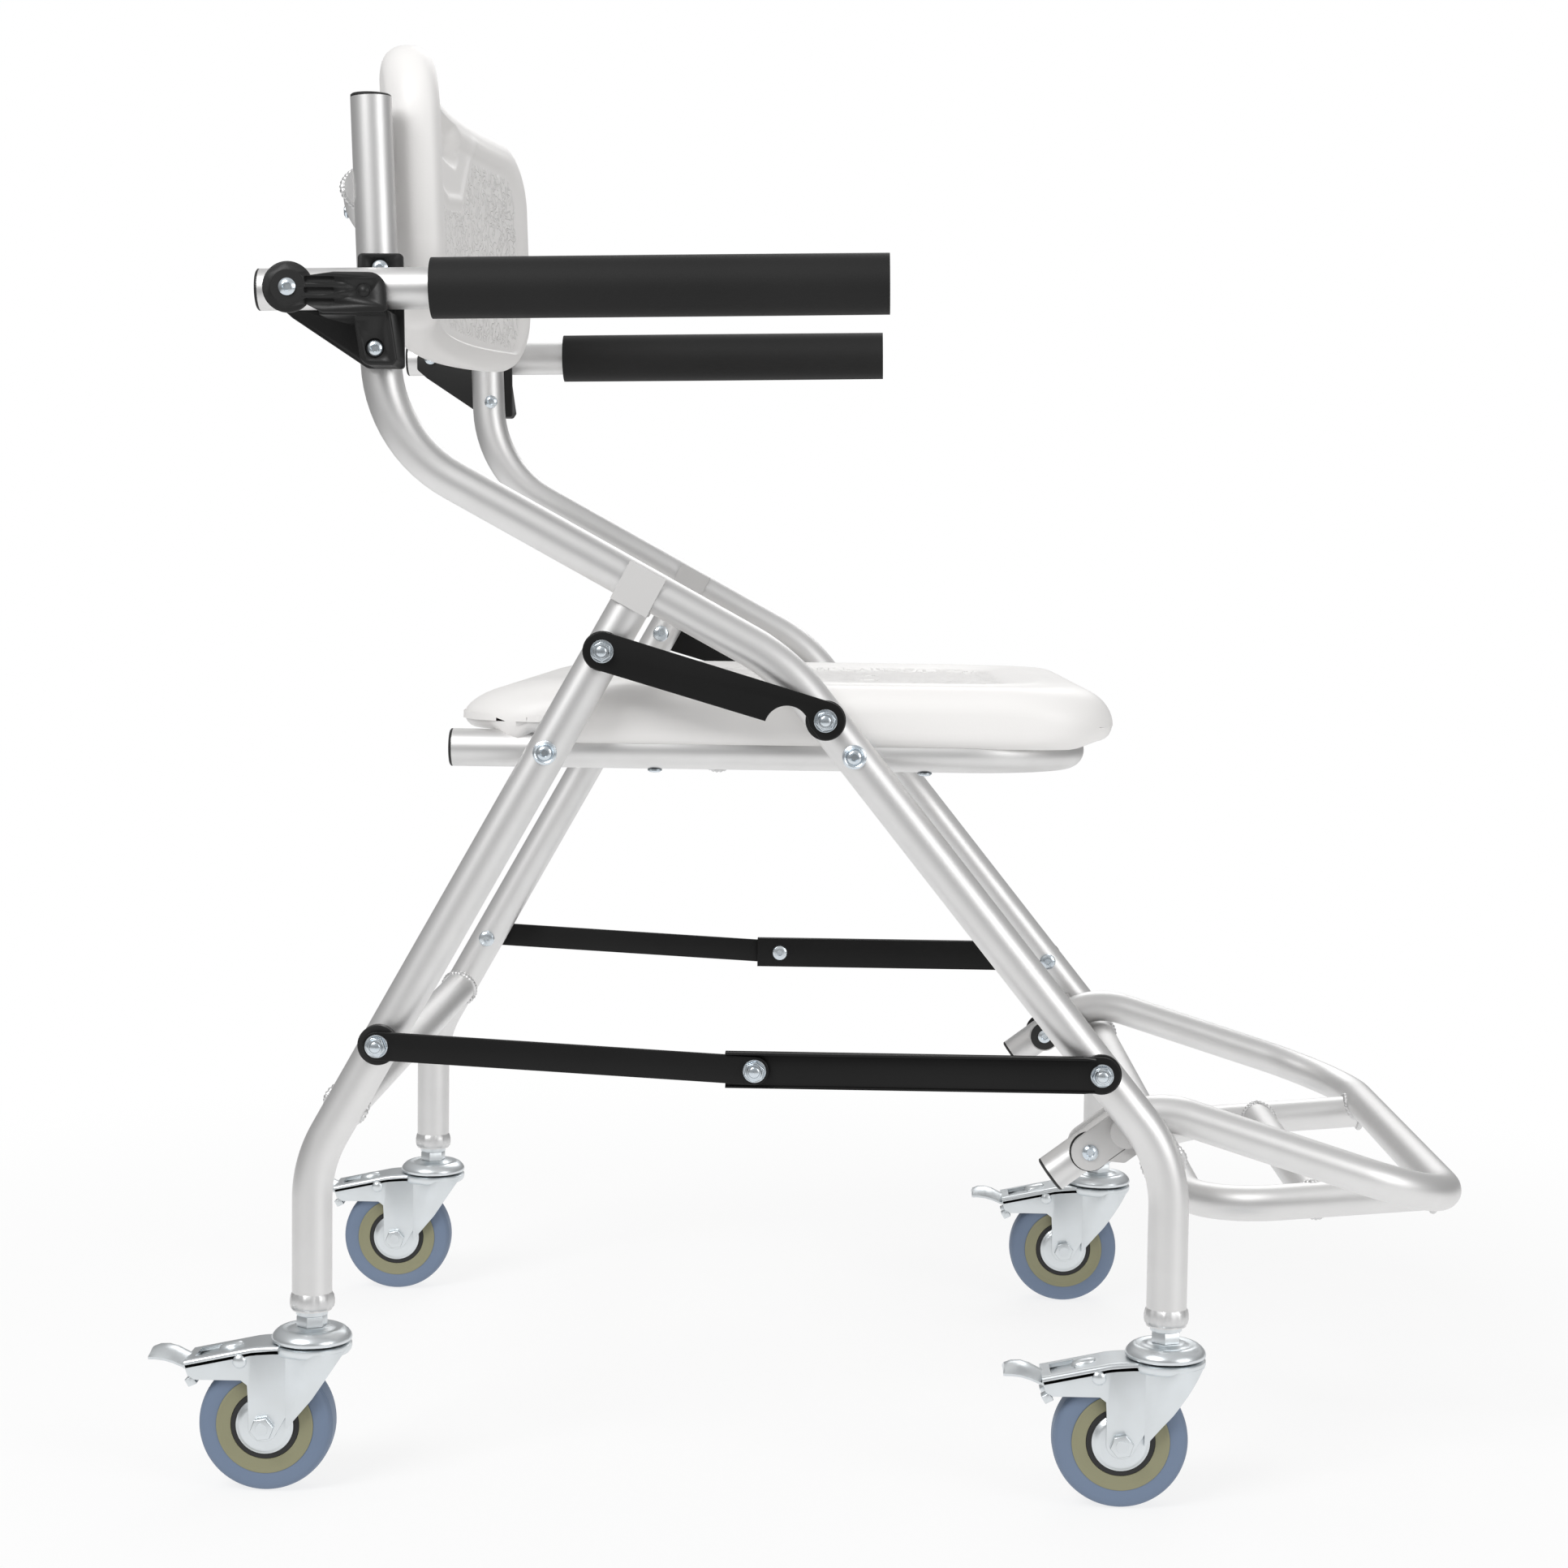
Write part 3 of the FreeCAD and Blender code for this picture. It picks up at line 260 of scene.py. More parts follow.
def plate(outline, y_low, y_high, edge=0.5):
    """Flat part from an (x, z) outline between two y, its edges rounded by edge."""
    steps = np.radians(np.linspace(0, 90, 4))
    inset = edge * (1 - np.sin(steps))
    depth = edge * (1 - np.cos(steps))
    levels = [(inset[k], y_low + depth[k]) for k in range(4)]
    levels += [(inset[k], y_high - depth[k]) for k in reversed(range(4))]
    rings = [np.insert(shrink(outline, d), 1, y, axis=1) for d, y in levels]
    return shell(np.stack(rings))


def strap(start, end, half, y_low, y_high, square=False, extra=0.0, edge=0.5):
    """Flat bar between two (x, z) pivots: round ends, or a square start that overhangs."""
    start, end = np.asarray(start, float), np.asarray(end, float)
    ahead = (end - start) / np.linalg.norm(end - start)
    up = np.array([-ahead[1], ahead[0]])
    t = np.radians(np.linspace(-90, 90, 20))[:, None]
    nose = end + half * (np.cos(t) * ahead + np.sin(t) * up)
    if square:
        tail = start + np.array([up * half - ahead * extra, -up * half - ahead * extra])
    else:
        tail = start + half * (-np.cos(t) * ahead - np.sin(t) * up)
    return plate(np.concatenate([nose, tail]), y_low, y_high, edge)


print("shell, tube, lathe, plate and strap are ready")

# %% [markdown]
# ## Shader maths
# A finish is a few sums on noise and position. Wrapping a socket in a small class lets the
# sums be written as sums: each operator adds one Math node.

# %% Finishes as expressions
class Term:
    """A socket whose + - and * add Math nodes to its tree."""

    def __init__(self, graph, socket):
        self.graph, self.socket = graph, socket

    def maths(self, operation, first, second):
        """One Math node on two numbers or sockets."""
        return self.graph.add("Math", {"operation": operation}, {0: first, 1: second})

    def __add__(self, other):
        return self.maths("ADD", self, other)

    def __sub__(self, other):
        return self.maths("SUBTRACT", self, other)

    def __rsub__(self, other):
        return self.maths("SUBTRACT", other, self)

    def __mul__(self, other):
        return self.maths("MULTIPLY", self, other)

    __radd__, __rmul__ = __add__, __mul__


class Graph:
    """A node tree that grows one node at a time."""

    def __init__(self, tree):
        self.tree = tree

    def add(self, kind, settings=None, sockets=None, output=0):
        """One node of any kind: its settings, then the values or links of its sockets."""
        node = self.tree.nodes.new("ShaderNode" + kind)
        for key, value in (settings or {}).items():
            setattr(node, key, value)
        for key, value in (sockets or {}).items():
            if isinstance(value, Term):
                self.tree.links.new(value.socket, node.inputs[key])
            else:
                node.inputs[key].default_value = value
        return Term(self, node.outputs[output] if node.outputs else None)


class Finish(Graph):
    """A material built around one Principled shader, on Object coordinates."""

    def __init__(self, name, **constants):
        self.material = bpy.data.materials.new(name)
        self.material.use_nodes = True
        super().__init__(self.material.node_tree)
        self.shader = self.tree.nodes["Principled BSDF"]
        for socket, value in constants.items():
            self.shader.inputs[socket.replace("_", " ")].default_value = value
        self.place = self.add("TexCoord", output="Object")

    def noise(self, scale, detail=2.0, rough=0.5, warp=0.0):
        """Cloudy value from 0 to 1; scale is its lumps per metre."""
        return self.add("TexNoise", None, {"Vector": self.place, "Scale": scale,
                                           "Detail": detail, "Roughness": rough,
                                           "Distortion": warp})

    def mix(self, share, first, second):
        """Colour: first * (1 - share) + second * share."""
        return self.add("Mix", {"data_type": "RGBA"}, {0: share, 6: first, 7: second}, 2)

    def feed(self, socket, term):
        """Let a value or colour drive one of the shader's sockets."""
        self.tree.links.new(term.socket, self.shader.inputs[socket])

    def relief(self, height, depth, strength=1.0):
        """Bump: depth is the height's real size in metres."""
        self.feed("Normal", self.add("Bump", None, {"Height": height, "Distance": depth,
                                                    "Strength": strength}))


def grey(level, warm=0.0):
    """Grey of that level; warm lifts its red and lowers its blue by the same share."""
    return (level * (1 + warm), level, level * (1 - warm), 1)


def metal(name, shade, other, rough, spread, grain, depth, mottle=60):
    """Metal: a slow mottle mixes two shades, and fine grain roughens and pits it."""
    made = Finish(name, Metallic=1.0)
    cloud, fine = made.noise(mottle, 3), made.noise(grain, 4, 0.7)
    made.feed("Base Color", made.mix(cloud, shade, other))
    made.feed("Roughness", rough + spread * (cloud - 0.5) + 0.06 * fine)
    made.relief(fine, depth, 0.5)
    return made.material


def moulded(name, shade, other, rough, grain, depth, **constants):
    """Plastic or paint: a faint slow tint, with a fine moulded grain."""
    made = Finish(name, **constants)
    cloud, fine = made.noise(14, 3), made.noise(grain, 3, 0.6)
    made.feed("Base Color", made.mix(cloud, shade, other))
    made.feed("Roughness", rough + 0.12 * (fine - 0.5) + 0.06 * cloud)
    made.relief(fine, depth, 0.6)
    return made.material


satin = metal("satin_aluminium", grey(0.80, 0.004), grey(0.74, 0.006), 0.44, 0.06, 1400, 2e-5)
weld = metal("weld_bead", grey(0.78), grey(0.62), 0.42, 0.16, 700, 8e-5, 160)
zinc = metal("bright_zinc", (0.76, 0.80, 0.83, 1), (0.69, 0.72, 0.73, 1), 0.30, 0.08, 500,
             4e-6, 70)
bolt_zinc = metal("blue_zinc", (0.60, 0.69, 0.78, 1), (0.74, 0.77, 0.78, 1), 0.24, 0.08, 500,
                  4e-6, 160)
black_steel = moulded("black_powder_coat", grey(0.005), grey(0.009), 0.38, 1500, 4e-5,
                      Specular_IOR_Level=0.22)
nylon = moulded("black_nylon", grey(0.010), grey(0.017), 0.42, 1100, 6e-5,
                Specular_IOR_Level=0.35)
cover_grey = moulded("pale_grey_nylon", grey(0.63, 0.01), grey(0.57, 0.01), 0.5, 900, 5e-5)
foam = moulded("foam_sleeve", grey(0.008), grey(0.016), 0.62, 1900, 1.2e-4,
               Specular_IOR_Level=0.3)
cap_black = moulded("black_end_cap", grey(0.010), grey(0.014), 0.5, 900, 4e-5)
tyre_grey = moulded("blue_grey_tyre", (0.135, 0.185, 0.275, 1), (0.165, 0.215, 0.305, 1), 0.52,
                    700, 5e-5)
olive = moulded("olive_core", (0.235, 0.230, 0.135, 1), (0.265, 0.255, 0.160, 1), 0.5, 800, 4e-5)
print(len(bpy.data.materials), "finishes")

# %% [markdown]
# ## Side tubes and rear legs
# Each side is one long tube bent three times, crossed by a rear leg bent once. Both lie in
# one upright plane, so the circle is carried with the chair's width as its fixed direction.

# %% Main tubes
TRACK, TUBE, SLIM = 229.5, 11.1, 10.5
REAR_X, FRONT_X, LEG_FOOT_Z = -280.8, 192.2, 101
POLE_TOP = (-249.5, 764.6)
SIDE_XZ = [POLE_TOP, (-241.8, 580.5), (-23.4, 462.1), (FRONT_X, 192.7), (FRONT_X, LEG_FOOT_Z)]
REAR_XZ = [(-107.7, 492.2), (REAR_X, 182.6), (REAR_X, LEG_FOOT_Z)]
REAR_BAR, FRONT_BAR = (-262.4, 215.5), (189.5, 190.5)
SNUG = 0.05  # a crossbar is this much thinner than the tube it ends in


def upright(corners, y):
    """(x, z) corners as points in the upright plane at y."""
    return np.insert(np.asarray(corners, float), 1, y, axis=1)


def moved(shells, x=0.0, y=0.0, z=0.0):
    """The same shells somewhere else."""
    return [(points + (x, y, z), faces) for points, faces in shells]


def pair(node, shells, finish, body, slot):
    """Two pieces: the right-hand node's skin, and its mirror image for the left."""
    for hand, turn in HANDS:
        piece(f"{node}_{hand}_skin", turn(shells), finish, body, slot, [f"{node}_{hand}"])


pair("side_tube", [tube(upright(SIDE_XZ, -TRACK), [75, 110, 75], TUBE)], satin, "front_frame",
     "satin_aluminium")
pair("rear_leg", [tube(upright(REAR_XZ, -TRACK), [75], TUBE)], satin, "rear_frame",
     "satin_aluminium")

# %% [markdown]
# ## Crossbars and welds
# A crossbar meets a leg of the same size, so its weld runs along a saddle-shaped line. The
# line is known exactly: walk round the bar and ask how far the leg's surface is from the
# middle plane. A thin rippled tube along that line is the bead.

# %% Crossbars and beads
def bar(place, half, radius):
    """Straight tube across the chair, at an (x, z) place."""
    x, z = place
    return tube([(x, -half, z), (x, half, z)], [], radius, (0, 0, 1))


def bead(line, thick=1.9, ripples=34, wave=0.28):
    """Closed tube along a loop; its radius is thick + wave * sin(ripples * t)."""
    t = np.linspace(0, 2 * np.pi, len(line), endpoint=False)
    centre = line.mean(axis=0)
    spread = np.linalg.svd(line - centre)[2][2]
    return shell(carry(line, thick + wave * np.sin(ripples * t), spread, 10, closed=True),
                 caps=False)


def weld_line(place, along, bar_radius, leg_radius, y_leg, sign):
    """Where a bar along Y meets a leg: y = y_leg + sign * sqrt(leg^2 - (bar sin t)^2)."""
    t = np.linspace(0, 2 * np.pi, 160, endpoint=False)
    across = np.array([-along[1], along[0]])
    flat = np.asarray(place) + bar_radius * (np.cos(t)[:, None] * np.asarray(along)
                                             + np.sin(t)[:, None] * across)
    reach = np.sqrt(np.clip(leg_radius ** 2 - (bar_radius * np.sin(t)) ** 2, 1.5, None))
    return np.stack([flat[:, 0], y_leg + sign * reach, flat[:, 1]], axis=1)


def unit(first, last):
    """Direction of length 1 from one point to another."""
    step = np.subtract(last, first)
    return step / np.linalg.norm(step)


piece("rear_leg_crossbar_skin", [bar(REAR_BAR, TRACK, TUBE - SNUG)], satin, "rear_frame",
      "satin_aluminium", ["rear_leg_crossbar"])
piece("front_leg_crossbar_skin", [bar(FRONT_BAR, TRACK, TUBE - SNUG)], satin, "front_frame",
      "satin_aluminium", ["front_leg_crossbar"])


def leg_foot(x):
    """Fat weld that closes a leg over its caster stem. Its wide rings are uneven: radius *
    (1 + 0.022 sin(7t + 1) + 0.014 sin 17t)."""
    z = np.array([111, 109.5, 107, 104.5, 102.5, 101.2, 100.9])
    radius = np.array([11.0, 11.7, 12.2, 12.2, 11.8, 10.6, 6])
    t = np.linspace(0, 2 * np.pi, 64, endpoint=False)
    lump = 1 + 0.022 * np.sin(7 * t + 1) + 0.014 * np.sin(17 * t)
    ring = radius[:, None] * np.where(radius[:, None] > 11.2, lump, 1)
    return shell(np.stack([x + ring * np.cos(t), -TRACK + ring * np.sin(t),
                           z[:, None] + 0 * t], axis=-1))


rear_welds = [bead(weld_line(REAR_BAR, unit(*REAR_XZ[:2]), TUBE, TUBE, -TRACK, 1)),
              leg_foot(REAR_X)]
front_welds = [bead(weld_line(FRONT_BAR, unit(*SIDE_XZ[2:4]), TUBE, TUBE, -TRACK, 1)),
               leg_foot(FRONT_X)]
piece("rear_welds", on_both_sides(rear_welds), weld, "rear_frame", "satin_aluminium")

BACK_BAR_X, BACK_BAR_Z, BACK_BAR_SAG = -252.5, 717, 24


def bowed(half, sag, y):
    """How far a circular bow of that sag lies behind its ends at y."""
    radius = (half ** 2 + sag ** 2) / (2 * sag)
    return np.sqrt(radius ** 2 - y ** 2) - radius + sag


y_line = np.linspace(-TRACK, TRACK, 41)
bow_line = np.stack([BACK_BAR_X - bowed(TRACK, BACK_BAR_SAG, y_line), y_line,
                     np.full_like(y_line, BACK_BAR_Z)], axis=1)
piece("back_crossbar_skin", [shell(carry(bow_line, TUBE - SNUG, (0, 0, 1)))], satin,
      "front_frame", "satin_aluminium", ["back_crossbar"])
front_welds.append(bead(weld_line((-253.5, BACK_BAR_Z), unit(*SIDE_XZ[:2]), TUBE, TUBE,
                                  -TRACK, 1)))
piece("front_welds", on_both_sides(front_welds), weld, "front_frame", "satin_aluminium")

# %% [markdown]
# ## Caps and saddles
# Open tube ends are closed by black plugs with a thin lip. On top of each rear leg sits a
# pale nylon saddle whose slot takes the side tube when the chair is open.

# %% Caps
SEAT_TRACK, SEAT_TUBE_Z, SEAT_TUBE_REAR, SEAT_TUBE_FRONT = 200, 412.8, -207.5, 137


def lip(centre, axis, radius, sign=1, thick=1.6):
    """Plug's lip: flat face, rounded rim."""
    rows = [(0, radius - 1.5), (0, radius), (thick * 0.6, radius), (thick, radius - 0.8),
            (thick - 0.25, radius - 2.2), (thick - 0.25, 0.01)]
    return lathe(rows, centre, axis, sign=sign)


pole_cap = lip((POLE_TOP[0], -TRACK, POLE_TOP[1]), "z", TUBE - 0.1)
piece("pole_end_caps", on_both_sides([pole_cap]), cap_black, "front_frame",
      "black_nylon", ["back_tube_caps"])
seat_cap = lip((SEAT_TUBE_REAR, -SEAT_TRACK, SEAT_TUBE_Z), "x", SLIM, -1)
piece("seat_tube_end_caps", on_both_sides([seat_cap]), cap_black, "seat", "black_nylon",
      ["seat_tube_caps"])

# %% [markdown]
# ## Seat frame and seat panel
# The seat rests on one tube bent into a U. The panel is a blow-moulded slab: its rings grow
# from the middle to a rounded outline, roll over the edge, drop down the wall and come back
# underneath. The rear edge rolls over a long way, the front and sides only a little.

# %% Seat frame
SEAT_BAR = (-60, SEAT_TUBE_Z)
seat_u = [(x, y, SEAT_TUBE_Z) for x, y in
          ((SEAT_TUBE_REAR, -SEAT_TRACK), (SEAT_TUBE_FRONT, -SEAT_TRACK),
           (SEAT_TUBE_FRONT, SEAT_TRACK), (SEAT_TUBE_REAR, SEAT_TRACK))]
piece("seat_frame_skin", [tube(seat_u, [62, 62], SLIM, (0, 0, 1))], satin, "seat",
      "satin_aluminium", ["seat_frame_tube"])
piece("seat_crossbar_skin", [bar(SEAT_BAR, SEAT_TRACK, SLIM - SNUG)], satin, "seat",
      "satin_aluminium", ["seat_crossbar"])
seat_beads = [bead(weld_line(SEAT_BAR, (1, 0), SLIM, SLIM, -SEAT_TRACK, 1), 1.5)]
piece("seat_welds", on_both_sides(seat_beads), weld, "seat", "satin_aluminium")

# %% Slab from outlines
def box_outline(low, high, radius, straight=36, bend=14):
    """Rounded rectangle with a fixed count of points on each side and corner."""
    (a0, b0), (a1, b1) = low, high
    corners = [((a1 - radius, b0 + radius), -90), ((a1 - radius, b1 - radius), 0),
               ((a0 + radius, b1 - radius), 90), ((a0 + radius, b0 + radius), 180)]
    runs = []
    for number, (centre, start) in enumerate(corners):
        t = np.radians(np.linspace(start, start + 90, bend))[:, None]
        turn = np.array(centre) + radius * np.concatenate([np.cos(t), np.sin(t)], axis=1)
        follow, angle = corners[(number + 1) % 4]
        first = np.array(follow) + radius * np.array([math.cos(math.radians(angle)),
                                                      math.sin(math.radians(angle))])
        share = np.linspace(0, 1, straight + 2)[1:-1, None]
        runs += [turn, turn[-1] + (first - turn[-1]) * share]
    return np.concatenate(runs)


def ease(x, low, high):
    """0 below low, 1 above high, smooth between: 3s^2 - 2s^3."""
    s = np.clip((x - low) / (high - low), 0, 1)
    return s * s * (3 - 2 * s)


def round_box(a, b, half_a, half_b, radius):
    """Distance from a rounded rectangle's edge, negative inside."""
    da, db = np.abs(a) - half_a + radius, np.abs(b) - half_b + radius
    return (np.hypot(np.maximum(da, 0), np.maximum(db, 0)) + np.minimum(np.maximum(da, db), 0)
            - radius)


SEAT_TOP, SEAT_FOOT = 451, 416
inner = box_outline((-150, -199), (136, 199), 42)
outer = box_outline((-207, -214.3), (162, 214.3), 55)
middle = np.array([-20.0, 0.0])
DRAINS = [(x, y) for x in (-75, 25) for y in (-70, 0, 70)]
FACE_STEP = 1.0  # a moulding's face starts this far below its nominal height
TUCK, UNDERSIDE = 426.5, 425.2  # z of the groove over the seat tube, and of the flat base


def seat_height(x, y):
    """Flat rim, a dish 4 deep inside it, a bead exp(-s^2) between, and six drain dimples."""
    edge = round_box(x + 12, y, 128, 172, 50)
    height = -4 * ease(-edge, 0, 26) + 1.0 * np.exp(-((edge - 6) / 5) ** 2)
    for place in DRAINS:
        height = height - 3.5 * ease(-np.hypot(x - place[0], y - place[1]), -7, -4)
    return height


def seat_rings():
    """Face, roll, wall, foot and underside. The roll moves out by sin t of the rim's width
    and drops by (1 - cos t) of its height; the foot is notched for the bolts beneath."""
    share = np.linspace(0.012, 1, 74)[:, None, None]
    flat = middle + share * (inner - middle)
    face = SEAT_TOP + seat_height(flat[..., 0], flat[..., 1]) - FACE_STEP
    rings = [np.concatenate([flat, face[..., None]], axis=-1)]
    t = np.radians(np.linspace(6, 90, 12))[:, None, None]
    roll = inner + (outer - inner) * np.sin(t)
    drop = (15 + 7 * ease(np.abs(outer[:, 0]), 90, 160)) * (1 - np.cos(t[..., 0]))
    rings.append(np.concatenate([roll, (SEAT_TOP - FACE_STEP - drop)[..., None]], axis=-1))
    beside = np.abs(outer[:, 1]) > 150
    notch = (6.5 * ease(-np.abs(outer[:, 0] + 160), -9, -4) * beside
             + 7 * ease(-outer[:, 0], 177, 187))
    low = SEAT_FOOT + notch + 4 * ease(outer[:, 0], 138, 160)
    wall = ((0.2, 9), (0.9, 5.5), (2.2, 2.8), (4.0, 1), (6.0, 0))
    tuck = ((8, 0.4), (9.5, 3), (10.5, 7))
    rings += [np.column_stack([shrink(outer, inset), low + up])[None] for inset, up in wall]
    rings += [np.column_stack([shrink(outer, inset), np.minimum(low + up, TUCK)])[None]
              for inset, up in tuck]
    share = np.linspace(0.93, 0.02, 12)[:, None, None]
    under = middle + share * (outer - middle)
    rings.append(np.insert(under, 2, UNDERSIDE, axis=-1))
    return np.concatenate(rings)


def emboss(name, zone):
    """Marks which points carry the moulded texture, from 0 to 1."""
    made = bpy.data.objects[name]
    points = np.empty(len(made.data.vertices) * 3)
    made.data.vertices.foreach_get("co", points)
    x, y, z = points.reshape(-1, 3).T / MM
    mark = made.data.attributes.new("texture_zone", "FLOAT", "POINT")
    mark.data.foreach_set("value", zone(x, y, z).astype(np.float32))


def leaf_plastic():
    """Warm white plastic with short curling ridges where the texture zone is marked."""
    made = Finish("leaf_textured_plastic", Coat_Weight=0.12, Coat_Roughness=0.35)
    cloud, fine = made.noise(14, 3), made.noise(800, 3, 0.6)
    made.feed("Base Color", made.mix(cloud, grey(0.9, 0.014), grey(0.87, 0.017)))
    curl = made.noise(95, 1.5, 0.45, 1.6)
    line = made.add("MapRange", {"interpolation_type": "SMOOTHSTEP"},
                    {"Value": made.add("Math", {"operation": "ABSOLUTE"}, {0: curl - 0.5}),
                     "From Min": 0.012, "From Max": 0.055, "To Min": 1.0, "To Max": 0.0})
    zone = made.add("Attribute", {"attribute_name": "texture_zone"}, output="Fac")
    made.feed("Roughness", 0.40 + 0.10 * fine + 0.05 * line * zone)
    made.relief(line * zone + 0.05 * fine, 9e-4, 0.9)
    return made.material


textured_white = leaf_plastic()
piece("seat_panel_skin", [shell(seat_rings())], textured_white, "seat", "moulded_plastic",
      ["seat_panel"])
emboss("seat_panel_skin", lambda x, y, z: ease(-round_box(x + 12, y, 118, 162, 40), 0, 6)
       * ease(z, 432, 443))

# %% [markdown]
# ## Backrest
# The backrest is the same kind of slab stood on edge and bowed round the sitter. Its face has
# a hand-hold at the top, a raised bead round a smooth middle, and a moulded texture.

# %% Backrest
BACK_HALF, BACK_LOW, BACK_TOP, BACK_THICK, BACK_LEAN = 216, 636, 796.4, 31, 0.0419
BACK_SAG, BACK_SHIFT = 28, 5.5
BACK_ROLL, FIELD_Z = 13, 712
back_outer = box_outline((-BACK_HALF, BACK_LOW + 5), (BACK_HALF, BACK_TOP), 44, 60)
back_inner = box_outline((BACK_ROLL - BACK_HALF, BACK_LOW + 5 + BACK_ROLL),
                         (BACK_HALF - BACK_ROLL, BACK_TOP - BACK_ROLL), 32, 60)
back_middle = np.array([0.0, FIELD_Z])


def back_face(y, z):
    """x of the front face: a circular bow in y, leaning back with height."""
    return -240.5 + BACK_SAG - bowed(BACK_HALF, BACK_SAG, y) - BACK_LEAN * (z - 640)


def bead_distance(y, z):
    """Distance from the polyline that frames the smooth middle."""
    points = [(93, 783), (87, 775), (50, 739), (0, 734)]
    away = np.full(np.shape(y), 1e3)
    for (y0, z0), (y1, z1) in zip(points, points[1:]):
        length2 = (y1 - y0) ** 2 + (z1 - z0) ** 2
        s = np.clip(((np.abs(y) - y0) * (y1 - y0) + (z - z0) * (z1 - z0)) / length2, 0, 1)
        away = np.minimum(away, np.hypot(np.abs(y) - y0 - s * (y1 - y0), z - z0 - s * (z1 - z0)))
    return away


def back_relief(y, z):
    """Height of the face: hand-hold -7, frame bead +1.4, sunk field -1.2 with a raised rim."""
    hold = round_box(y, z - 771, 47, 15, 15)
    field = round_box(y, z - FIELD_Z, 192, 64, 26)
    height = -7 * ease(-hold, 0, 9) + 1.4 * np.exp(-(bead_distance(y, z) / 3.2) ** 2)
    return height - 1.2 * ease(-field, 0, 5) + 0.7 * np.exp(-((field - 4) / 4) ** 2)


def droop(y, z):
    """The lower edge hangs lowest in the middle: z rises by 6 (y / half)^2 - 5 near it."""
    return z + (6 * (np.abs(y) / BACK_HALF) ** 2 - 5) * ease(-z, -700, -641)


def back_layer(outline, depth):
    """Rings of an outline at a depth behind the bowed face."""
    y, z = outline[..., 0], droop(outline[..., 0], outline[..., 1])
    return np.stack([back_face(y, z) - depth, y, z], axis=-1)


def back_rings():
    """Face, front roll, rear roll and back. A roll moves out by sin t of its width, and
    13.5 (1 - cos t) deep."""
    share = np.linspace(0.01, 1, 70)[:, None, None]
    flat = back_middle + share * (back_inner - back_middle)
    t = np.radians(np.linspace(5, 90, 12))[:, None, None]
    roll = back_inner + (back_outer - back_inner) * np.sin(t)
    depth = 0.6 + 13.5 * (1 - np.cos(t[..., 0]))
    return np.concatenate([back_layer(flat, 0.6 - back_relief(flat[..., 0], flat[..., 1])),
                           back_layer(roll, depth),
                           back_layer(roll[::-1], BACK_THICK - depth[::-1]),
                           back_layer(flat[::-6], BACK_THICK - 0.6)])


piece("backrest_skin", moved([shell(back_rings())], x=BACK_SHIFT, z=BACK_SHIFT),
      textured_white, "front_frame", "moulded_plastic", ["backrest_panel"])


def back_zone(x, y, z):
    """1 on the textured field of the front face, 0 in its smooth frame and elsewhere."""
    x, z = x - BACK_SHIFT, z - BACK_SHIFT
    framed = (bead_distance(y, z) < 7) | ((z > 734) & (np.abs(y) < z - 689))
    return (ease(x - back_face(y, z), -9, -5) * (1 - framed)
            * ease(-round_box(y, z - FIELD_Z, 186, 58, 22), 0, 4))


emboss("backrest_skin", back_zone)
print("seat and back are moulded")

# %% [markdown]
# ## Links and braces
# Flat steel bars fold the chair. The upper link has a half-round bite that clears the seat's
# pivot; the lower brace's front half has small lips that stop the knee just past straight.

# %% Flat bars
P1, P2, P3, P4 = (0.2, 432.5), (16, 412.8), (-121, 468.4), (-152.1, 412.8)
P5, KNEE, P7 = (-241.9, 252.1), (-35.8, 242), (152.8, 242)
NOTCH_BACK, NOTCH_DOWN, NOTCH = 18.8, 10.2, 12.3


def layer(inner_face, outer_face):
    """y limits of a flat part between two distances outboard of the tube line."""
    return -TRACK - outer_face, -TRACK - inner_face


def link_outline(half=10.5):
    """Round-ended bar from P1 to P3, with a circular bite in its lower edge."""
    ahead = unit(P1, P3)
    up = np.array([ahead[1], -ahead[0]])
    up = up if up[1] > 0 else -up
    length = math.dist(P1, P3)
    t = np.radians(np.linspace(-90, 90, 24))[:, None]
    nose = np.concatenate([length + half * np.cos(t), half * np.sin(t)], axis=1)
    tail = np.concatenate([-half * np.cos(t), -half * np.sin(t)], axis=1)
    span = math.asin((NOTCH_DOWN - half) / NOTCH)
    b = np.linspace(math.pi + span, -span, 26)[:, None]
    bite = np.concatenate([NOTCH_BACK + NOTCH * np.cos(b), -NOTCH_DOWN + NOTCH * np.sin(b)],
                          axis=1)
    bite = bite[(bite[:, 0] > 7) & (bite[:, 1] > -half)]
    flat = np.concatenate([nose, tail, bite])
    return np.asarray(P1) + flat[:, :1] * ahead + flat[:, 1:] * up


pair("upper_link", [plate(link_outline(), *layer(12.4, 15.4), 0.6)], black_steel, "upper_links",
     "black_steel")


def front_brace():
    """Square tail behind the knee, round nose at the leg, thin lips along both edges: the
    upper one stands out past the rear brace, and the lower one is short."""
    lip_xz = np.array([(-51.8, 10), (143, 10), (149, 9.4), (149, 8.8), (-51.8, 8.8)])
    upper, lower = lip_xz + (0, KNEE[1]), lip_xz[::-1] * (1, -1) + (0, KNEE[1])
    return [strap(KNEE, P7, 10, *layer(14.4, 17.2), square=True, extra=16),
            plate(upper, *layer(14.6, 22.2), 0.25), plate(lower, *layer(14.6, 18.4), 0.25)]


pair("front_brace", front_brace(), black_steel, "front_braces", "black_steel")
pair("rear_brace", [strap(KNEE, P5, 7.8, *layer(17.7, 20.7))], black_steel, "rear_braces",
     "black_steel")

# %% [markdown]
# ## Bolts, washers and lock nuts
# A lock nut is a chamfered hexagon with a round collar, standing on a washer, with the bolt's
# domed end showing in its middle. Each lives on the body whose bolt it is.

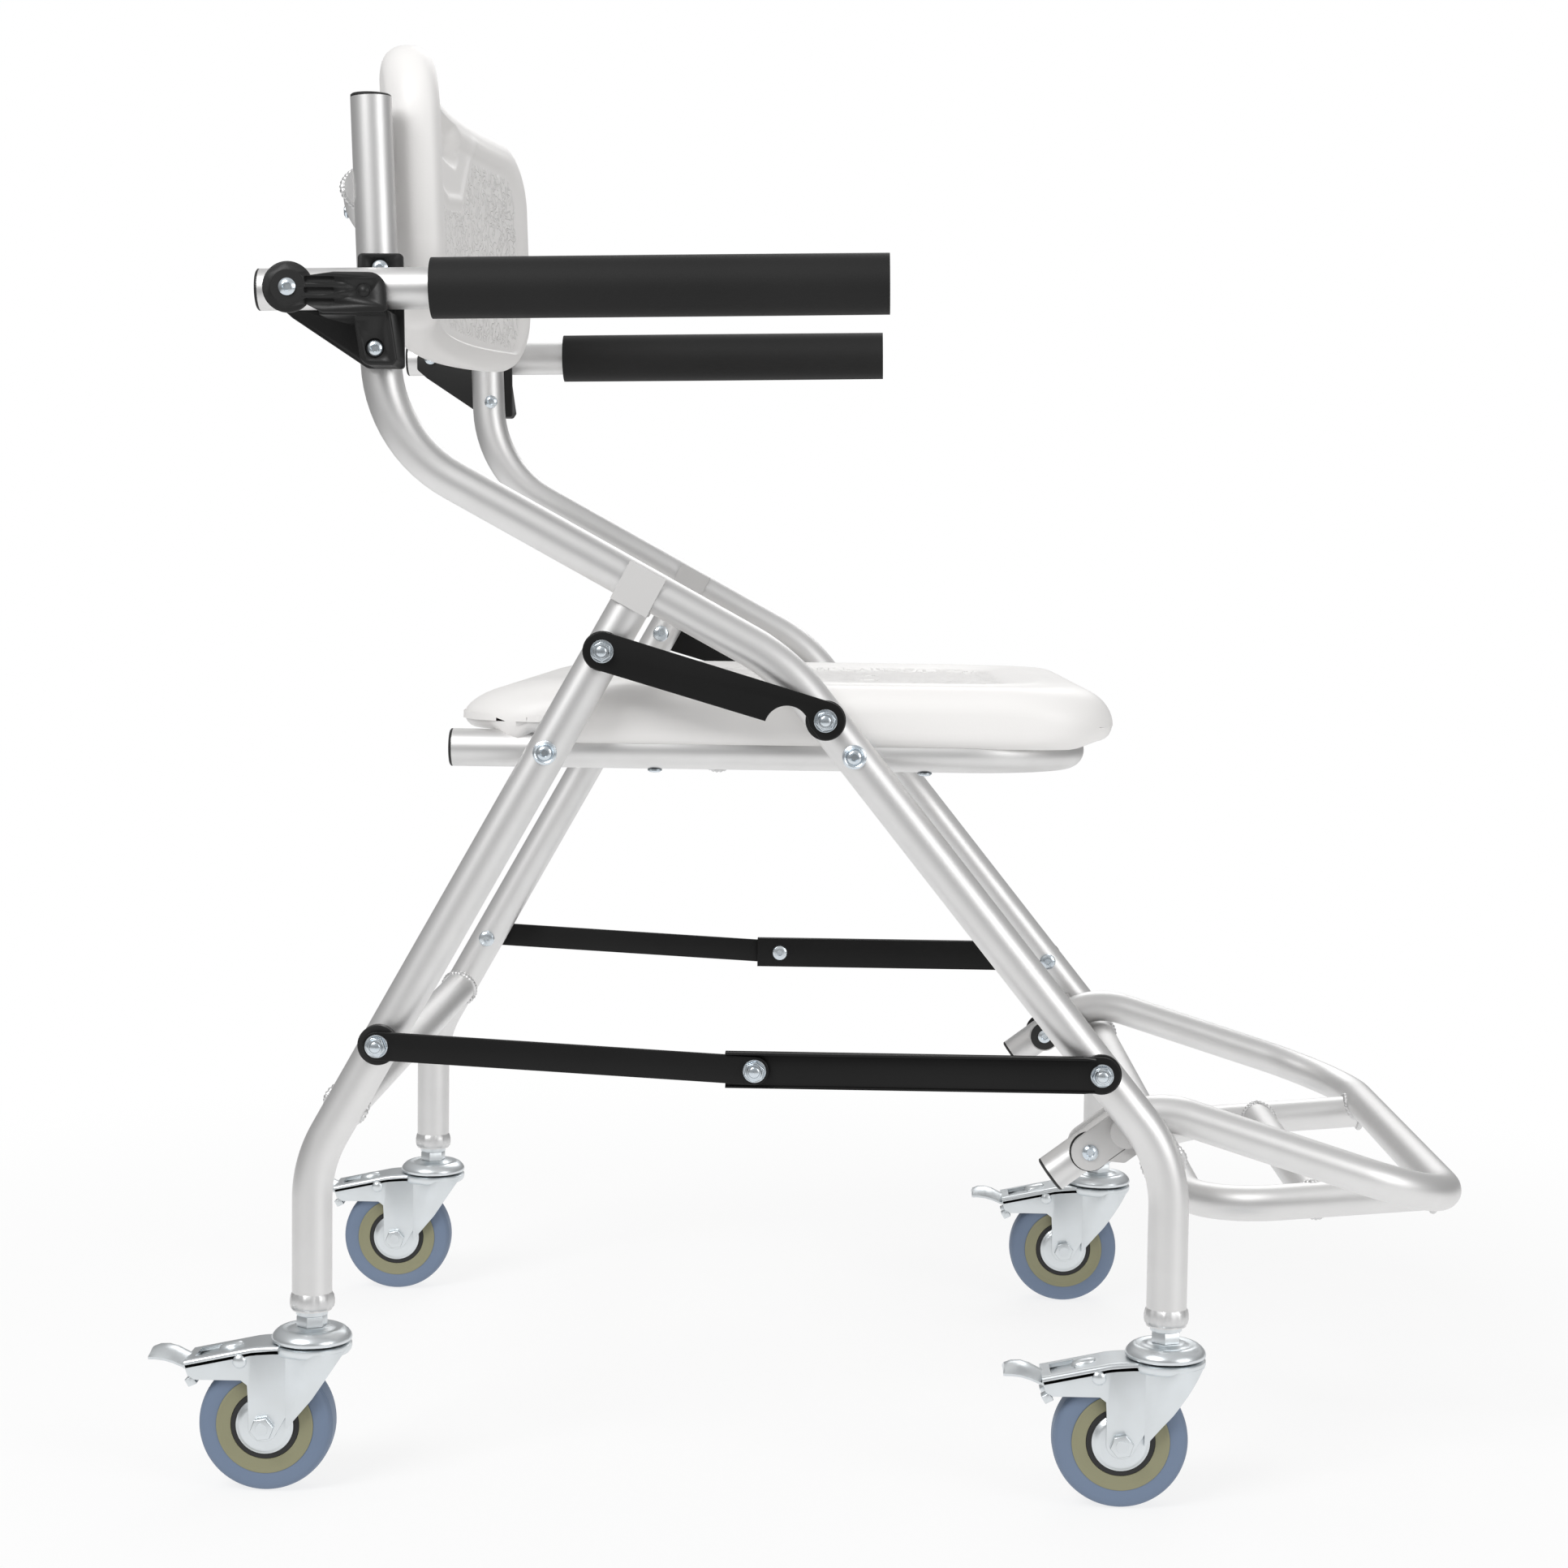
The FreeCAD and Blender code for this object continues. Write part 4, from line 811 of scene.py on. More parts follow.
# %% Fasteners
def hexagon(flats, turn_by=0.0):
    """Outline of a hexagon with that distance across its flats."""
    t = np.radians(np.arange(6) * 60 + turn_by)
    return flats / math.sqrt(3) * np.stack([np.cos(t), np.sin(t)], axis=1)


def lock_nut(place, out, turn_by=12.0, collar=True):
    """Zinc washer, hexagon, collar and bolt end, on a face that far outboard."""
    x, z = place
    face = -TRACK - out
    shells = [lathe([(0, 3), (0, 6.2), (0.9, 6.3), (1.2, 6.0), (1.2, 3)], (x, face, z),
                    sign=-1, caps=False)]
    shells.append(plate(hexagon(9.8, turn_by) + place, face - 4.4, face - 1.2, 0.55))
    if collar:
        shells.append(lathe([(4.2, 4.3), (5.1, 4.2), (5.6, 3.8), (5.7, 3.0)],
                            (x, face, z), sign=-1, caps=False))
    shells.append(lathe([(4.2, 2.95), (5.6, 2.9), (6.0, 2.3), (6.1, 0.01)], (x, face, z),
                        sign=-1))
    return shells


def disc(place, low, high, radius, edge=0.35):
    """Washer between two distances outboard."""
    x, z = place
    depth = high - low
    return lathe([(0, radius - edge), (edge, radius), (depth - edge, radius),
                  (depth, radius - edge)], (x, -TRACK - low, z), sign=-1)


def inner_head(place, face=-11.1):
    """Low domed head on the inside of a tube, with a hexagon socket shown as a dimple."""
    x, z = place
    rows = [(0, 5.3), (0.7, 5.5), (2.0, 4.9), (2.8, 3.2), (2.8, 1.9), (1.6, 1.7), (1.6, 0.01)]
    return lathe(rows, (x, -TRACK - face, z), sign=1)


def fasten(name, nuts, discs, body, slot, stands_for):
    """Zinc nuts and black discs of one body, on both sides."""
    piece(f"{name}_zinc", on_both_sides(nuts), bolt_zinc, body, slot, stands_for)
    if discs:
        piece(f"{name}_discs", on_both_sides(discs), nylon, body, "black_steel")


fasten("upper_link_bolts", lock_nut(P1, 15.4) + lock_nut(P3, 15.4, 33) + [inner_head(P1)],
       [disc(P1, 11.2, 12.4, 11), disc(P3, 11.4, 12.4, 11)], "upper_links", "zinc_steel",
       ["upper_link_bolts"])
fasten("front_brace_bolts", lock_nut(P7, 17.2, 5) + [inner_head(P7)],
       [disc(P7, 11.4, 14.4, 11)], "front_braces", "zinc_steel", ["front_brace_bolts"])
fasten("rear_brace_bolts",
       lock_nut(P5, 20.7, 50) + lock_nut(KNEE, 20.7, 20) + [inner_head(KNEE, 14.4)],
       [disc(P5, 11.4, 17.7, 11)], "rear_braces", "zinc_steel", ["rear_brace_bolts"])


def button(place, out, radius=6.7):
    """Dished cup washer round a small socket head, on a flattened spot of the tube."""
    x, z = place
    face = -TRACK - out
    dish = lathe([(0, radius), (0.7, radius - 0.2), (1.1, radius - 1.2), (0.5, 4.6),
                  (0.5, 3)], (x, face, z), sign=-1)
    cap = lathe([(0.3, 3.9), (1.6, 3.9), (2.2, 3.3), (2.4, 2.2), (1.2, 1.9), (1.2, 0.01)],
                (x, face, z), sign=-1)
    return [dish, cap]


def spacer(place):
    """Round spacer between the frame's tube and the seat's tube, and the inner head."""
    x, z = place
    return [lathe([(-10.9, 7.6), (-10.9, 8), (-19, 8), (-19, 7.6)], (x, -TRACK, z), sign=-1),
            lathe([(0, 5.3), (0.7, 5.5), (2.0, 4.9), (2.8, 3.2), (2.8, 0.01)],
                  (x, -SEAT_TRACK + SLIM - 0.2, z))]


def under_screw(x):
    """Head of a screw that comes up through the seat tube."""
    rows = [(0, 4), (-0.9, 4), (-1.8, 2.8), (-2.0, 1.2), (-1.2, 0.01)]
    return lathe(rows, (x, -SEAT_TRACK, SEAT_TUBE_Z - SLIM), "z")


seat_bolts = (button(P2, 11.4) + button(P4, 11.4) + spacer(P2) + spacer(P4)
              + [under_screw(-95), under_screw(55)])
piece("seat_bolts_zinc", on_both_sides(seat_bolts), bolt_zinc, "seat", "zinc_steel",
      ["seat_bolts"])

# %% [markdown]
# ## Armrests
# A straight tube turns about a bolt in the bracket. A thick foam sleeve is slid over its
# front, and both tube ends carry black plugs. The whole arm is built level and then tipped up
# by the small angle at which it rests.

# %% Arms
ARM_Y, ARM_PIVOT, ARM_TILT = -257.2, (-286.4, 659.1), math.radians(1.1)
ARM_REAR, ARM_FRONT, PAD_FRONT = -303.5, 29, 31.3


def tipped(shells, angle=ARM_TILT, about=ARM_PIVOT):
    """Turn x towards z by an angle about a point of the (x, z) plane."""
    turned = []
    for points, faces in shells:
        x, z = points[:, 0] - about[0], points[:, 2] - about[1]
        turned.append((np.stack([about[0] + x * math.cos(angle) - z * math.sin(angle),
                                 points[:, 1],
                                 about[1] + x * math.sin(angle) + z * math.cos(angle)], axis=1),
                       faces))
    return turned


def sleeve(start, end, outside=16.3, bore=11.3, bevel=2.6):
    """Foam sleeve: bore, ends bevelled by 1 - sin t, a barrel that swells 0.1 at its middle."""
    cut = bevel * (1 - np.sin(np.radians(np.linspace(0, 90, 7))))
    swell = np.linspace(-1, 1, 25)
    rim = [(start + 4.0, bore)] + [(start + c, outside - 0.1 - c) for c in cut]
    barrel = [(start + 3.2 + (end - start - 6.4) * (s + 1) / 2, outside - 0.1 * s * s)
              for s in swell]
    rim_end = [(start + end - along, radius) for along, radius in reversed(rim)]
    return lathe(rim + barrel + rim_end, (0, ARM_Y, ARM_PIVOT[1]), "x", around=72, caps=False)


for (hand, turn), pad_rear in zip(HANDS, (-211.9, -193.9)):
    body = f"armrest_{hand}"
    rear, front = (ARM_REAR, ARM_Y, ARM_PIVOT[1]), (ARM_FRONT, ARM_Y, ARM_PIVOT[1])
    arm, pad = tube([rear, front], [], TUBE, (0, 0, 1)), sleeve(pad_rear, PAD_FRONT)
    plugs = [lip(rear, "x", TUBE, -1), lip(front, "x", TUBE)]
    piece(f"arm_tube_{hand}_skin", turn(tipped([arm])), satin, body, "satin_aluminium",
          [f"arm_tube_{hand}"])
    piece(f"arm_pad_{hand}_foam", turn(tipped([pad])), foam, body, "foam_sleeve",
                    [f"arm_pad_{hand}"])
    piece(f"arm_plugs_{hand}", turn(tipped(plugs)), cap_black, body, "black_nylon",
          [f"arm_caps_{hand}"])

# %% [markdown]
# ## Arm brackets
# Each bracket is one black nylon moulding: an inner plate with a gusset, a block that grips
# the pole, a shelf that the arm rests on and an outer cheek with a round head and three
# shallow slots. Slots and bolt seats are cut with the Boolean modifier, which keeps a
# moulding's crisp inner corners, and the result is kept as plain mesh.

# %% Brackets
def carve(made, cutters):
    """Subtract closed shells from a piece, which may overlap itself, and keep the result."""
    tool = piece(made.name + "_cutter", cutters, made.data.materials[0], made["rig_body"],
                 made["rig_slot"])
    cut = made.modifiers.new("cut", "BOOLEAN")
    cut.operation, cut.solver, cut.object = "DIFFERENCE", "EXACT", tool
    cut.use_self = True
    bpy.context.view_layer.update()
    seen = made.evaluated_get(bpy.context.evaluated_depsgraph_get())
    mesh = bpy.data.meshes.new_from_object(seen)
    made.modifiers.clear()
    made.data = mesh
    bpy.data.objects.remove(tool)
    print(f"{made.name} carved: {len(mesh.polygons)} faces")
    return made


UPPER_BOLT, LOWER_BOLT = (-242, 672.1), (-240.8, 627.8)
CHEEK_OUT, CHEEK_IN, SHELF_Z, CHEEK_TOP = -272.1, -268.6, 645.8, 667.3


def bracket():
    """Right-hand bracket: plates in x and z, joined by a block and a shelf. The cheek's head
    is an arc of radius 13.5 about the arm's pivot."""
    inner_plate = soften([(-254, 680), (-229.6, 680), (-228.6, 618.6), (-248.5, 618.6),
                          (-289, 645), (-296, 651), (-296, 662), (-254, 664)],
                         [2.5, 2.5, 2, 5, 4, 3, 3, 2])
    t = np.radians(np.linspace(28, 318, 44))
    head = np.stack([ARM_PIVOT[0] + 13.5 * np.cos(t), ARM_PIVOT[1] + 13.5 * np.sin(t)], axis=1)
    right = soften([(-262, CHEEK_TOP), (-235, CHEEK_TOP), (-233.5, 646), (-262, SHELF_Z)],
                   [0, 9, 3, 0])
    cheek = np.concatenate([head, [[-268, SHELF_Z]], right[::-1]])
    block = soften([(-251.5, 648), (-232.6, 648), (-228.7, 622), (-231, 618.7), (-248, 618.7),
                    (-251.5, 640)], [1.5, 3, 2, 2, 6, 6])
    shelf = soften([(-270, 648.2), (-235, 648.2), (-235, 644.8), (-270, 644.8)], 0.8)
    boss = lathe([(0, 12.6), (0, 9.4), (0.5, 9.0), (0.5, 0.01)],
                 (ARM_PIVOT[0], CHEEK_OUT + 0.2, ARM_PIVOT[1]), sign=-1)
    return [plate(inner_plate, -244.3, -240.8, 0.6), plate(cheek, CHEEK_OUT, CHEEK_IN, 0.8),
            plate(block, -268, -241, 1.4), plate(shelf, -269.4, -242, 0.5), boss]


def bracket_cuts():
    """Three shallow slots in the cheek, a seat round each bolt and a fine ring."""
    slots = [plate(soften([(-277.5, z), (-261.5, z), (-261.5, z + 3), (-277.5, z + 3)], 0.9),
                   -274.4, -270, 0.1) for z in (650.2, 656, 661.8)]
    seats = [lathe([(0, 5.2), (8, 5.2)], (x, y, z)) for (x, z), y in
             ((LOWER_BOLT, -273.4), (UPPER_BOLT, -251))]
    ring = lathe([(0, 3.9), (0, 3.2), (1, 3.2), (1, 3.9), (0, 3.9)], (-246, -272.8, 657.5),
                 caps=False)
    return slots + seats + [ring]


for hand, turn in HANDS:
    carve(piece(f"arm_bracket_{hand}_skin", turn(bracket()), nylon, "front_frame",
                "black_nylon", [f"arm_bracket_{hand}"]), turn(bracket_cuts()))


def screw_head(place, y, radius=4.4, tall=2.4, sign=-1):
    """Button head with a socket, at a y; its rows are shares of its radius and height."""
    x, z = place
    rows = [(0, radius), (tall * 0.45, radius), (tall * 0.85, radius * 0.75),
            (tall, radius * 0.5), (tall * 0.45, radius * 0.42), (tall * 0.45, 0.01)]
    return lathe(rows, (x, y, z), sign=sign)


def back_screw(y):
    """Screw head behind the bowed back crossbar."""
    x = BACK_BAR_X - bowed(TRACK, BACK_BAR_SAG, y) - TUBE
    return lathe([(0, 4), (1.2, 3.9), (2, 2.6), (2.1, 0.01)], (x, y, BACK_BAR_Z), "x", sign=-1)


FOOT_PIVOT, POLE_INSIDE = (149.5, 194.1), -218.6
frame_bolts = [screw_head(UPPER_BOLT, -242.9), screw_head(LOWER_BOLT, -265.5),
               screw_head(ARM_PIVOT, -272, 4.6, 2.6),
               screw_head(UPPER_BOLT, POLE_INSIDE, sign=1),
               screw_head(LOWER_BOLT, POLE_INSIDE, sign=1),
               screw_head(ARM_PIVOT, -240.9, sign=1),
               screw_head(FOOT_PIVOT, -218.1), screw_head(FOOT_PIVOT, -186.7, sign=1),
               back_screw(-120), back_screw(-45)]
piece("frame_bolts_zinc", on_both_sides(frame_bolts), bolt_zinc, "front_frame", "zinc_steel",
      ["frame_bolts"])

# %% [markdown]
# ## Footrest
# The footrest is an outer loop on two pivots, an inner heel loop welded to its front bar and
# a short tube across the middle. The loops bend in two planes, so the carried circle keeps an
# upright direction instead of a sideways one.

# %% Footrest
FOOT_HALF, HEEL_HALF = 203, 128
FOOT_STUB, FOOT_FRONT = (129.3, 178.9), (358.1, 163.3)
foot_right = [FOOT_STUB, (182.1, 218.7), FOOT_FRONT]
foot_line = ([(x, -FOOT_HALF, z) for x, z in foot_right]
             + [(x, FOOT_HALF, z) for x, z in reversed(foot_right)])
heel_line = [(357, -HEEL_HALF, 156.6), (218, -HEEL_HALF, 144.2), (218, HEEL_HALF, 144.2),
             (357, HEEL_HALF, 156.6)]
CROSS = (289, 150.5)
piece("footrest_loop_skin", [tube(foot_line, [45, 60, 60, 45], SLIM, (-0.35, 0, 1))], satin,
      "footrest", "satin_aluminium", ["footrest_loop"])
piece("footrest_heel_skin", [tube(heel_line, [50, 50], SLIM - 0.03, (0, 0, 1))], satin,
      "footrest", "satin_aluminium", ["footrest_heel_loop"])
piece("footrest_cross_skin", [bar(CROSS, HEEL_HALF, SLIM - SNUG)], satin, "footrest",
      "satin_aluminium", ["footrest_cross_tube"])


def end_weld(y):
    """Where a heel tube, running forward, meets the front bar: x = front -
    sqrt(reach^2 - height^2), with height measured from the front bar's middle."""
    t = np.linspace(0, 2 * np.pi, 160, endpoint=False)
    z = 156.0 + SLIM * np.sin(t)
    reach = np.sqrt(np.clip((SLIM + 0.3) ** 2 - (z - FOOT_FRONT[1]) ** 2, 2, None))
    return np.stack([FOOT_FRONT[0] - reach, y + SLIM * np.cos(t), z], axis=1)


heel_way = unit(heel_line[1], heel_line[0])[[0, 2]]
foot_beads = [bead(weld_line(CROSS, heel_way, SLIM, SLIM, -HEEL_HALF, 1), 1.6),
              bead(end_weld(-HEEL_HALF), 1.6)]
piece("footrest_welds", on_both_sides(foot_beads), weld, "footrest", "satin_aluminium")

FOOT_RISE = math.radians(37)
stub_plug = tipped([lip((FOOT_STUB[0], -FOOT_HALF, FOOT_STUB[1]), "x", SLIM, -1)], FOOT_RISE,
                   FOOT_STUB)
rings = [lathe([(0, r - 0.6), (0.2, r), (0.9, r), (1.1, r - 0.5)],
               (FOOT_PIVOT[0], y, FOOT_PIVOT[1]), sign=-1)
         for y, r in ((-213.9, 11.3), (-186.6, 9.4))]
piece("footrest_plugs", on_both_sides(stub_plug + rings), cap_black, "footrest", "black_nylon",
      ["footrest_caps"])


def clevis():
    """Channel pressed from sheet: two cheeks with round ends, a floor and a weld pad. It is
    drawn level about its pivot and then tipped up with the stub."""
    cheek = soften([(-10.4, -10.4), (30, -10.4), (30, 10.4), (-10.4, 10.4)],
                   [10.3, 1, 1, 10.3])
    web = soften([(12, -16.1), (30, -16.1), (30, -9), (4, -9)], [3, 0.5, 0, 0])
    floor = soften([(12, -16.2), (30, -16.2), (30, -13.2), (12, -13.2)], 0.4)
    shells = [plate(outline, y, y + 3, 0.5) for y in (-218.2, -190.8)
              for outline in (cheek, web)]
    shells += [plate(floor, -217, -189, 0.4),
               lathe([(0, 9), (5.5, 9)], (23, -217.5, -2), sign=-1)]
    return tipped(moved(shells, x=FOOT_PIVOT[0], z=FOOT_PIVOT[1]), FOOT_RISE, FOOT_PIVOT)


piece("footrest_clevis_skin", on_both_sides(clevis()), cover_grey, "front_frame", "grey_nylon",
      ["footrest_clevises"])

# %% [markdown]
# ## Casters
# One caster is built about its own swivel axis and set four times. The stem belongs to the
# leg; the fork, the wheel and the brake pedal are bodies of their own.

# %% Caster profiles
TRAIL, AXLE_Z, FORK_IN, FORK_OUT = -24.5, 37.5, 12.6, 15.0
CUP = 22.3


def stem_shells():
    """Neck flange, hexagon 15 across its flats, and the upper cup over the ball race."""
    neck = lathe([(101, 8), (100.6, 8.8), (98.4, 8.8), (98, 8.2), (98, 7)], (0, 0, 0), "z")
    nut = shell(np.stack([np.insert(hexagon(15 * size, 22), 2, z, axis=1)
                          for z, size in ((92, 1), (97.4, 1), (98.2, 0.92))]))
    cup = lathe([(91.8, 0.01), (91.8, 9.5), (91.2, 11), (90.4, 12.4), (90.3, 14.2),
                 (90.9, 15.8), (90.8, 17.4), (90.0, 19.0), (88.6, 20.6), (87.2, 21.7),
                 (85.8, CUP), (84.6, 22.2), (83.9, 21.6), (83.9, 0.01)], (0, 0, 0), "z",
                around=72)
    return [neck, nut, cup]


def lower_cup():
    """Rolled lower cup that the fork is pressed from."""
    return lathe([(82.9, 0.01), (82.9, 19.8), (82.7, 21.2), (82.0, 22.1), (80.6, CUP),
                  (78.9, 21.9), (77.6, 21.0), (77.0, 19.5), (77.0, 0.01)], (0, 0, 0), "z",
                 around=72)


def fork_cheek(sign):
    """Flat cheek with the brake's arm, its foot rounded about the axle."""
    t = np.radians(np.linspace(180, 318, 24))
    foot = np.stack([TRAIL + 8.4 * np.cos(t), AXLE_Z + 8.0 * np.sin(t)], axis=1)
    top = [(-11.5, 44), (-11.5, 81.4), (-20, 81), (-31, 79.9), (-68.5, 72), (-66.5, 66),
           (-62.5, 63.6), (-36.8, 63.6), (-33.4, 61), (-33.0, 54)]
    return plate(np.concatenate([foot, top]), *sorted((sign * FORK_IN, sign * FORK_OUT)), 0.45)


def fork_wing(sign):
    """Curved web from the flat cheek round to the cup: y blends from the cheek's plane to
    the cup's circle, sqrt(cup^2 - x^2), with height and with distance forward."""
    z = np.linspace(36.8, 80, 30)[:, None]
    share = np.linspace(0, 1, 18)[None]
    front = np.interp(z, [36.8, 54.3, 76, 80], [-11.6, 3, 17.5, 20.2])
    x = -12 + (front + 12) * share
    circle = np.sqrt(np.clip(CUP ** 2 - x ** 2, 1, None))
    blend = ease(z, 42, 79) * ease(share, 0, 0.55)
    out = FORK_OUT + (circle - FORK_OUT) * blend
    grid = np.concatenate([np.stack([x, out, z + 0 * x], axis=-1),
                           np.stack([x, out - 2.3, z + 0 * x], axis=-1)[:, ::-1]], axis=1)
    return shell(grid * (1, sign, 1))


def roof(x_low, x_high, y_low, y_high, edges=(False, False)):
    """Part of the pressed roof between the cheeks: its top follows their upper edge, and an
    outer edge rolls over by 1 - sqrt(1 - t^2)."""
    x = np.linspace(x_low, x_high, 9)[:, None]
    turn = np.sin(np.linspace(-np.pi / 2, np.pi / 2, 41))[None]
    y = (y_low + y_high + (y_high - y_low) * turn) / 2
    top = np.interp(x, [-68.5, -30, -18], [74.2, 82.4, 83.2])
    for is_edge, away in zip(edges, (y - y_low, y_high - y)):
        if is_edge:
            top = top - 2.2 * (1 - np.sqrt(1 - np.clip(1 - away / 2.2, 0, 1) ** 2))
    upper = np.stack([x + 0 * y, y + 0 * x, top + 0 * y], axis=-1)
    return shell(np.concatenate([upper, upper[:, ::-1] - (0, 0, 2.2)], axis=1))


def pressed_bump():
    """Long dome pressed up beside the window: height 2.8 sqrt(1 - r^3) above the roof."""
    r = np.linspace(0.02, 1, 12)[:, None]
    t = np.linspace(0, 2 * np.pi, 40, endpoint=False)[None]
    x, y = -45 + 7.2 * r * np.cos(t), 4.6 * r * np.sin(t)
    z = np.interp(x, [-68.5, -30], [74.2, 82.4]) + 2.8 * np.sqrt(1 - r ** 3) - 0.6
    return shell(np.stack([x, y, z], axis=-1))


def fork_shells():
    """Lower cup, roof with its window and bump, two brake rivets, cheeks and webs."""
    bridge = roof(-50, -14, -FORK_OUT, FORK_OUT, (True, True))
    rails = [roof(-63.5, -50, -FORK_OUT, -9, (True, False)),
             roof(-63.5, -50, 9, FORK_OUT, (False, True))]
    lintel = roof(-68.5, -63.5, -FORK_OUT, FORK_OUT, (True, True))
    rivets = [lathe([(-0.3, 3.9), (0.2, 3.9), (0.8, 3.5), (1.4, 2.5), (1.8, 1.2), (1.85, 0.01)],
                    (-37.4, sign * FORK_OUT, 74.4), sign=sign) for sign in (-1, 1)]
    return ([lower_cup(), bridge, lintel, pressed_bump()] + rails + rivets
            + [side(sign) for sign in (-1, 1) for side in (fork_cheek, fork_wing)])


def axle_shells():
    """Hexagon head, nut and the two dished guard discs beside the wheel."""
    ends = []
    for sign in (-1, 1):
        low, high = sorted((sign * FORK_OUT, sign * (FORK_OUT + 4.4)))
        ends.append(plate(hexagon(11.5, 10) + (TRAIL, AXLE_Z), low, high, 0.7))
        ends.append(lathe([(0.4, 0.01), (0.4, 3.4), (0, 3.6)],
                          (TRAIL, sign * (FORK_OUT + 4.2), AXLE_Z), sign=sign))
        ends.append(lathe([(0, 16.2), (0.8, 16), (1.6, 14.6), (2.4, 13.8), (2.9, 12.2),
                           (2.9, 0.01)], (TRAIL, sign * 9.65, AXLE_Z), sign=sign, around=64))
    return ends


def tyre_shells():
    """Solid tyre: flat sides, rounded shoulders and two fine grooves beside the tread."""
    half = [(10.1, 27), (10.8, 29), (11, 32), (10.9, 34.2), (10.2, 35.6), (9.0, 36.5),
            (8.0, 36.8), (7.7, 36.4), (7.4, 36.85), (6.6, 37.1), (6.3, 36.8), (6.0, 37.25),
            (3.0, 37.5)]
    rows = [(-y, r) for y, r in half] + half[::-1]
    return [lathe(rows, (TRAIL, 0, AXLE_Z), around=96, caps=False),
            lathe([(-10.1, 27), (10.1, 27)], (TRAIL, 0, AXLE_Z), around=96, caps=False)]


def core_shells():
    """Olive core: a step under the tyre, a flat ring and a recess for the guard."""
    half = [(10.4, 27), (10.5, 26.2), (10.2, 25.4), (9.7, 22.8), (9.9, 20.4), (9.7, 19.2),
            (8.0, 18.9)]
    rows = [(-y, r) for y, r in half] + half[::-1]
    return [lathe(rows, (TRAIL, 0, AXLE_Z), around=96, caps=False)]


def seal_shells():
    """Black dust seal between core and guard, both sides."""
    return [lathe([(0, 19), (1.5, 18.9), (1.6, 16.6), (1.1, 8), (1.1, 4)],
                  (TRAIL, sign * 8, AXLE_Z), sign=sign, around=64, caps=False)
            for sign in (-1, 1)]


def pedal_shells():
    """Pressed pedal: toe board, leaf, two ears on the rivets and the brake shoes. The board's
    height is its crown's less the drop to its rim times (y / half width)^2."""
    x = np.array([-89.5, -88.8, -85, -80, -75, -70, -65, -60])
    crown = np.array([76.0, 77.8, 79.4, 79.6, 78.2, 75.6, 73.4, 72.2])
    rim = np.array([74.6, 74.7, 74.9, 74.4, 73.0, 70.9, 69.2, 68.6])
    width = np.array([9.4, 10.4, 11.2, 11.4, 11.4, 11.4, 11.4, 11.4])
    share = np.linspace(-1, 1, 21)
    height = crown[:, None] - (crown - rim)[:, None] * share ** 2
    top = np.stack([x[:, None] + 0 * share, width[:, None] * share, height], axis=-1)
    toe = shell(np.concatenate([top, top[:, ::-1] - (0, 0, 1.3)], axis=1))
    leaf = np.array([(-64, 70.6), (-56, 73.4), (-36, 77.0), (-36, 78.2), (-56, 74.8),
                     (-64, 72)])
    ear = np.array([(-64, 70.4), (-60, 66.6), (-42, 69.6), (-37.4, 69), (-32.4, 74.4),
                    (-36, 78), (-60, 73)])
    shoe = soften([(-68.8, 62.6), (-64.2, 64.8), (-61.8, 60.8), (-66.4, 58.6)], 0.4)
    bar_across = soften([(-66, 66), (-62, 66), (-62, 61.5), (-66, 61.5)], 0.4)
    return [toe, plate(leaf, -11.2, 11.2, 0.3), plate(shoe, -12, -4, 0.4),
            plate(shoe, 4, 12, 0.4), plate(bar_across, -9, 9, 0.4),
            plate(ear, -12.2, -11.2, 0.2), plate(ear, 11.2, 12.2, 0.2)]


# %% Set the casters
for corner, x, y, frame_body, stem_nodes in (
        ("rear_right", REAR_X, -TRACK, "rear_frame", ["rear_leg_hardware"]),
        ("rear_left", REAR_X, TRACK, "rear_frame", []),
        ("front_right", FRONT_X, -TRACK, "front_frame", ["front_caster_stems"]),
        ("front_left", FRONT_X, TRACK, "front_frame", [])):
    fork_body, wheel_body = f"caster_fork_{corner}", f"wheel_{corner}"
    piece(f"caster_stem_{corner}", moved(stem_shells(), x, y), zinc, frame_body, "zinc_steel",
          stem_nodes)
    piece(f"fork_{corner}_skin", moved(fork_shells(), x, y), zinc, fork_body, "zinc_steel",
          [f"fork_{corner}"])
    piece(f"axle_{corner}_skin", moved(axle_shells(), x, y), zinc, fork_body, "zinc_steel",
          [f"axle_{corner}"])
    piece(f"tyre_{corner}_skin", moved(tyre_shells(), x, y), tyre_grey, wheel_body,
          "tyre_rubber", [f"tyre_{corner}"])
    piece(f"wheel_core_{corner}_skin", moved(core_shells(), x, y), olive, wheel_body,
          "wheel_plastic", [f"wheel_core_{corner}"])
    piece(f"wheel_seal_{corner}", moved(seal_shells(), x, y), cap_black, wheel_body,
          "black_nylon")
    piece(f"brake_pedal_{corner}_skin", moved(pedal_shells(), x, y), zinc, f"pedal_{corner}",
          "zinc_steel", [f"brake_pedal_{corner}"])

piece("rear_leg_heads", on_both_sides([inner_head(P3), inner_head(P5)]), bolt_zinc,
      "rear_frame", "zinc_steel")

# %% [markdown]
# ## What stays from the model
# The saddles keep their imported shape; they only need the right finish.

# %% Saddle finish
saddles = NODES["leg_saddles"].data
saddles.materials.clear()
saddles.materials.append(cover_grey)
shown = [name for name, node in NODES.items() if not node.hide_render]
print("nodes still shown:", shown)

# %% [markdown]
# ## Floor and light
# The chair stands on a pale floor in an even white room. The room's light is a gradient, so
# tubes show a bright crown and a darker belly, and three large soft lamps add highlights.

